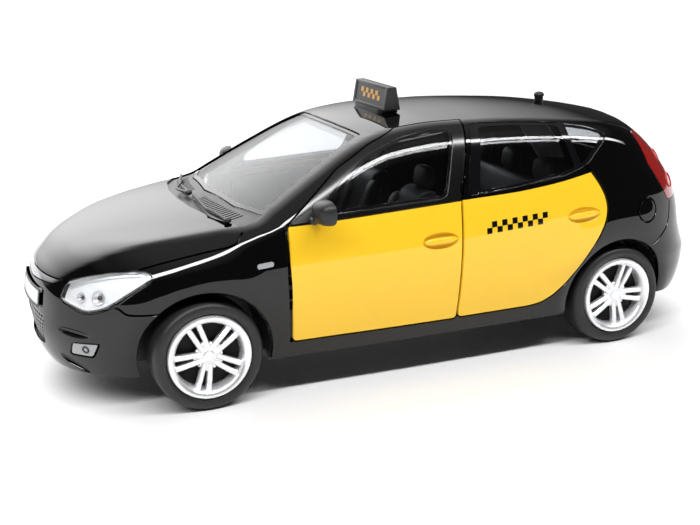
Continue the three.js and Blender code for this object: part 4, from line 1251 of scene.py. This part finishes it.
def on_sign(u, v, way):
    """A place on the sign's front (way -1) or back face; u runs across and v up the face, 0 to 1."""
    z = SIGN_Z + SIGN_TALL * v
    return (SIGN_X + way * (1.5 - 0.7 * v - 0.12 + 0.02), u, z)


checks = []
for way in (-1, 1):
    for row in range(2):
        for col in range(8):
            if (row + col) % 2:
                continue
            u0, v0 = -4 + col, 0.34 + row * 0.2
            square = ((u0, v0), (u0 + 1, v0), (u0 + 1, v0 + 0.2), (u0, v0 + 0.2))
            corners = [on_sign(u, v, way) for u, v in square]
            inner = [(x - way * 0.05, y, z) for x, y, z in corners]
            checks.append(loft([inner, corners]))
piece("roof_sign_checks", join(*checks), amber)

AERIAL_SECTION = [
    (0.001, 39.6), (0.8, 39.6), (0.8, 40.6), (0.95, 40.8), (0.95, 41.1), (0.75, 41.4), (0.4, 41.55), (0.001, 41.58),
]
aerial = lathe(AERIAL_SECTION, 48)
aerial.transform(Matrix.Translation((node_middle("roof_antenna")[0], 0, 0)))
piece("roof_antenna", boolean(aerial, layer(-0.05)), dark_plastic)

# ---- Door mirrors ----


def squarish(wide, tall, power=0.75):
    """An oval with fuller corners, (y, z)."""
    turn = turns(48)
    across, up = np.cos(turn), np.sin(turn)
    return np.stack([wide * np.sign(across) * np.abs(across) ** power, tall * np.sign(up) * np.abs(up) ** power], 1)


for side in SIDES:
    hand = HAND[side]
    middle = Vector((-17.7, side * 25.0, 29.6))
    lean = Matrix.Rotation(-0.2 * side, 4, "Z")
    rings = []
    for u in np.linspace(0, 1, 18):
        full = (1 - u**2.6) ** (1 / 2.2)
        ring = squarish(max(2.6 * full, 0.02), max(1.95 * full, 0.02))
        rings.append(np.insert(ring, 0, 1.25 - 2.3 * u, axis=1))
    housing = loft(rings)
    hollow = housing.copy()
    hollow.transform(Matrix.Translation((0.45, 0, 0)) @ Matrix.Diagonal((0.8, 0.86, 0.84, 1)))
    housing = boolean(housing, hollow)
    stalk_path = [(-0.1, -side * 1.5, -1.5), (0.0, -side * 3.2, -1.4), (0.2, -side * 4.6, -1.0)]
    stalk_path = smooth_path(stalk_path, 0.3)
    stalk = tube(stalk_path, 0.7, 16, 0.8)
    mirror = join(housing, stalk)
    mirror.transform(Matrix.Translation(middle) @ lean)
    body = f"{hand}_door"
    piece(f"door_mirror_{hand}", mirror, dark_plastic, body)
    glass = prism(squarish(2.1, 1.5), 0, 0.75, 1.0)
    glass.transform(Matrix.Translation(middle) @ lean)
    piece(f"mirror_glass_{hand}", glass, mirror_face, body)
    sail = slab(0.35, -0.3, side_prism([(-21.9, 27.7), (-15.9, 28.2), (-15.9, 30.9)], side, 16, 40, 0.5))
    piece(f"mirror_sail_{hand}", sail, dark_plastic, body, surface=(0.35,))

# ---- Cabin ----

SEAT_SIDE = [
    (-12.5, 9), (2, 8.4), (3.8, 11), (8.4, 27.8), (6.2, 28.4), (4.4, 27.6), (-0.2, 13.6), (-12.5, 14.6), (-14, 12.5),
]
BENCH_SIDE = [(11, 8.6), (25.8, 8.6), (26.6, 15), (30.6, 27.2), (28, 28), (22.6, 14.4), (12, 15.4)]


def cushion(section, low, high, width=1.0, corner=1.2):
    return soften(prism(rounded(section, corner, 0.6), 1, low, high), width, 4)


def headrest(x, y, z, wide=2.7):
    pad = ellipsoid(1.15, wide, 2.0, 14, 36)
    co = points_of(pad)
    for axis, reach in ((0, 1.15), (1, wide), (2, 2.0)):
        co[:, axis] = np.sign(co[:, axis]) * np.abs(co[:, axis] / reach) ** 0.62 * reach
    pad = new_mesh(co, [p.vertices for p in pad.polygons])
    pad.transform(Matrix.Translation((x, y, z)) @ Matrix.Rotation(0.16, 4, "Y"))
    posts = [tube([(x - 0.1, y + d, z - 2.6), (x, y + d, z - 1)], 0.28, 10) for d in (-1.1, 1.1)]
    return join(pad, *posts)


for side in SIDES:
    hand = HAND[side]
    y = side * 9.4
    shapes = [cushion(SEAT_SIDE, y - 3.6, y + 3.6, 0.4)]
    for edge in SIDES:
        back_bolster = [(2.4, 15), (5.4, 26.2), (4.6, 27.2), (3.2, 26.2), (-1.6, 15.4), (-0.4, 13.2)]
        seat_bolster = [(-12.6, 12.4), (-0.6, 12.2), (-0.4, 15.4), (-6, 15.8), (-12.4, 15.4)]
        where = sorted((y + edge * 3.3, y + edge * 5.4))
        for part in (back_bolster, seat_bolster):
            shapes.append(cushion(part, *where, 0.6, 0.8))
        edge_side = SEAT_SIDE[:3] + [(7.4, 25.6), (5.4, 26.4), (1, 14), (-12.4, 12.4)]
        shapes.append(cushion(edge_side, *where, 0.5, 1))
    for rib in np.linspace(16.6, 25.2, 5):
        x = 0.95 + (rib - 13.6) * 0.325
        shapes.append(tube([(x, y - 3.1, rib), (x, y + 3.1, rib)], 0.5, 14))
    for rib in (-10.6, -7.8, -5):
        shapes.append(tube([(rib, y - 3.1, 14.1), (rib, y + 3.1, 14.1)], 0.6, 14, 0.7))
    shapes.append(headrest(7.3, y, 30))
    piece(f"front_seat_{hand}", join(*shapes), cabin_plastic)

shapes = [cushion(BENCH_SIDE, -17.4, 17.4, 0.8)]
for y in (-11, 0, 11):
    shapes.append(headrest(29.9, y, 29.6, 2.5))
    for rib in np.linspace(17.5, 25.8, 4):
        x = 23.6 + (rib - 14.4) * 0.4
        shapes.append(tube([(x, y - 3.4, rib), (x, y + 3.4, rib)], 0.5, 14))
piece("rear_bench", join(*shapes), cabin_plastic)

DASH_SIDE = [(-25.4, 20), (-21.5, 19.2), (-19.8, 22), (-20.2, 24.6), (-22.4, 25.5), (-25.4, 25.3)]
hood_side = [(-22.4, 24.4), (-20.1, 24), (-19.9, 26), (-21.6, 26.5), (-23.2, 25.6)]
stack_side = [(-24.8, 8.9), (-17, 8.9), (-17.6, 11.2), (-21.4, 15.2), (-21.4, 20.5), (-24.8, 20.5)]
dash = [
    cushion(DASH_SIDE, -18.6, 18.6, 0.5, 0.8),
    cushion(hood_side, -13.2, -5.2, 0.5, 0.5),
    cushion(stack_side, -4.2, 4.2, 0.4, 0.8),
]
for y in (-16, -2.4, 2.4, 15.6):
    vent = washer(0.5, 1.05, -0.4, 0, 32)
    vent.transform(Matrix.Translation((-19.75, y, 23)) @ Matrix.Rotation(math.pi / 2, 4, "Y"))
    dash.append(vent)
piece("dashboard", join(*dash), cabin_plastic)
screen_box = soften(box((-20.9, -2.6, 17.2), (-21.3, 2.6, 20)), 0.1)
piece("dash_screen", screen_box, black_print)

grip = 0.42
rim_ring = []
for u in turns(64):
    reach = 4.55 + grip * np.cos(turns(14))
    rim_ring.append(np.stack([reach * math.cos(u), reach * math.sin(u), grip * np.sin(turns(14))], 1))
wheel = [loft(rim_ring, capped=False), soften(disc(1.5, 0.9, 32), 0.2)]
for angle in (math.pi, 0, -math.pi / 2):
    bar = soften(box((1.0, -0.45, -0.5), (4.5, 0.45, -0.15)), 0.12)
    bar.transform(Matrix.Rotation(angle, 4, "Z"))
    wheel.append(bar)
wheel.append(disc(0.6, 3.4, 20))  # the column
wheel = join(*wheel)
wheel.transform(Matrix.Rotation(math.pi / 2 - 0.42, 4, "Y") @ Matrix.Rotation(-math.pi / 2, 4, "Z"))
wheel.transform(Matrix.Translation((-16.6, -9.2, 22.8)))
piece("steering_wheel", wheel, base_black)

# ---- Inner faces of the doors ----

DOOR_CARD = [(-17.4, 10.4), (5, 10.3), (5.4, 18.2), (6, 27.2), (-17.4, 26.2)]
DOOR_POCKET = [(-14.5, 12.5), (2.5, 12.4), (2.9, 17), (-14.5, 17)]
for side in SIDES:
    hand = HAND[side]
    card = slab(-1.15, -1.75, side_prism(DOOR_CARD, side, 15, 40, 1.5))
    card = boolean(card, slab(-1.6, -1.9, side_prism(DOOR_POCKET, side, 15, 40, 1)))
    rest_line = on_side(smooth_path([(-13, 19.2), (-6, 19.6), (2.2, 21)], 0.4), side, -1.9)
    pull = on_side(smooth_path([(-8, 23.4), (-5.5, 23.7), (-3, 23.9)], 0.3), side, -1.9)
    swell = np.sin(np.linspace(0.35, math.pi - 0.35, len(rest_line))) ** 0.3
    armrest = tube(rest_line, 0.62 * swell, 16, 1.1)
    card = join(card, armrest, tube(pull, 0.3, 12))
    piece(f"door_card_{hand}", card, cabin_plastic, f"{hand}_door")

# ---- Checker strip on each rear door, in place of lettering ----

CHECK = 0.95
for side in SIDES:
    cells = []
    for col in range(12):
        for row in range(2):
            if (row + col) % 2:
                continue
            x, z = 11.4 + col * CHECK, 22.95 + row * CHECK + col * 0.055
            corners = [(x, z), (x + CHECK, z + 0.055), (x + CHECK, z + CHECK + 0.05), (x, z + CHECK)]
            cells.append(side_prism(corners, side, 20, 30))
    strip = slab(0.03, -0.05, join(*cells))
    piece(f"checker_strip_{HAND[side]}", strip, black_print, surface=(0.03,))


# ---- Stage ----


def towards(world, direction):
    """The cosine between a direction and the one looked in."""
    place = node(world, "ShaderNodeTexCoord")
    dot = node(world, "ShaderNodeVectorMath", operation="DOT_PRODUCT")
    dot.inputs[1].default_value = direction
    world.node_tree.links.new(place.outputs["Generated"], dot.inputs[0])
    return dot.outputs["Value"]


def glow(world, direction, low, high, strength, power):
    """World light around a direction, fading out where the cosine to it falls from high to low."""
    fade = ramp(world, towards(world, direction), 0, 1, (low, high))
    return calc(world, "MULTIPLY", calc(world, "POWER", fade, power), strength)


def band(world, across, half):
    """One in a thin band of the world, and nought where the sine to its plane is more than half."""
    away = calc(world, "ABSOLUTE", towards(world, across))
    return ramp(world, away, 0, 1, (half * 1.3, half))


LIGHTS = (
    # direction, cosines where the light has gone and is full, strength, falloff
    ((0, 0, 1), 0.7, 0.95, 0.45, 1.0),  # a dim ceiling
    ((-0.12, 0.8, 0.588), 0.66, 0.98, 3.4, 1.3),  # the bright backdrop behind the car
    ((-0.1, 0.72, 0.68), 0.93, 0.99, 1.0, 1.0),  # the lamp above the backdrop
    ((0, 0, 1), -1.0, -0.9, 0.05, 0),  # the rest of the room
)


def set_stage():
    """A pale floor under soft light from overhead, brighter from behind the car, and a dim horizon."""
    world = bpy.data.worlds.new("studio")
    bpy.context.scene.world = world
    world.use_nodes = True
    lamp = glow(world, (-0.06, -0.46, 0.885), 0.6, 0.8, 30.0, 1.0)
    total = calc(world, "MULTIPLY", band(world, (0, 0.887, 0.461), 0.034), lamp)  # a long lamp above the camera
    for light in LIGHTS:
        total = calc(world, "ADD", total, glow(world, *light))
    background = world.node_tree.nodes["Background"]
    world.node_tree.links.new(total, background.inputs["Strength"])
    background.inputs["Color"].default_value = (1, 1, 1, 1)
    bpy.ops.mesh.primitive_plane_add(size=6, location=(0, 0, 0))
    floor = bpy.context.object
    floor.name = "floor"
    floor.data.materials.append(material("pale_floor", (0.86, 0.86, 0.86), 0.6))
    bpy.context.scene.view_settings.view_transform = "Standard"


def set_camera():
    """A camera a little above the car's front left corner, rolled slightly."""
    around, above, roll = math.radians(-22.55), math.radians(16.23), math.radians(-0.68)
    back = Vector((math.sin(around) * math.cos(above), -math.cos(around) * math.cos(above), math.sin(above)))
    right = Vector((0, 0, 1)).cross(back).normalized()
    up = back.cross(right)
    across = right * math.cos(roll) + up * math.sin(roll)
    upward = up * math.cos(roll) - right * math.sin(roll)
    camera = bpy.data.objects.new("camera", bpy.data.cameras.new("camera"))
    camera.data.lens = 59.95
    camera.data.sensor_width = 36
    camera.data.clip_start = 0.01
    turn = Matrix((across, upward, back)).transposed().to_4x4()
    camera.matrix_world = Matrix.Translation(Vector((-2.68, 0, 13.5)) * MM + back * 208.06 * MM) @ turn
    bpy.context.scene.collection.objects.link(camera)
    bpy.context.scene.camera = camera


set_stage()
set_camera()

# ---- What stays as CAD takes its finish from here ----

# the finish of a CAD node whose name holds a word
CAD_FINISH = {
    "chassis": base_black, "interior": cabin_plastic, "screw": steel, "axle": steel, "hinge_pin": steel,
}
for name, made in frame["nodes"].items():
    if made.hide_render:
        continue
    look = dark_plastic
    for word, choice in CAD_FINISH.items():
        look = choice if word in name else look
    for slot in made.material_slots:
        slot.material = look
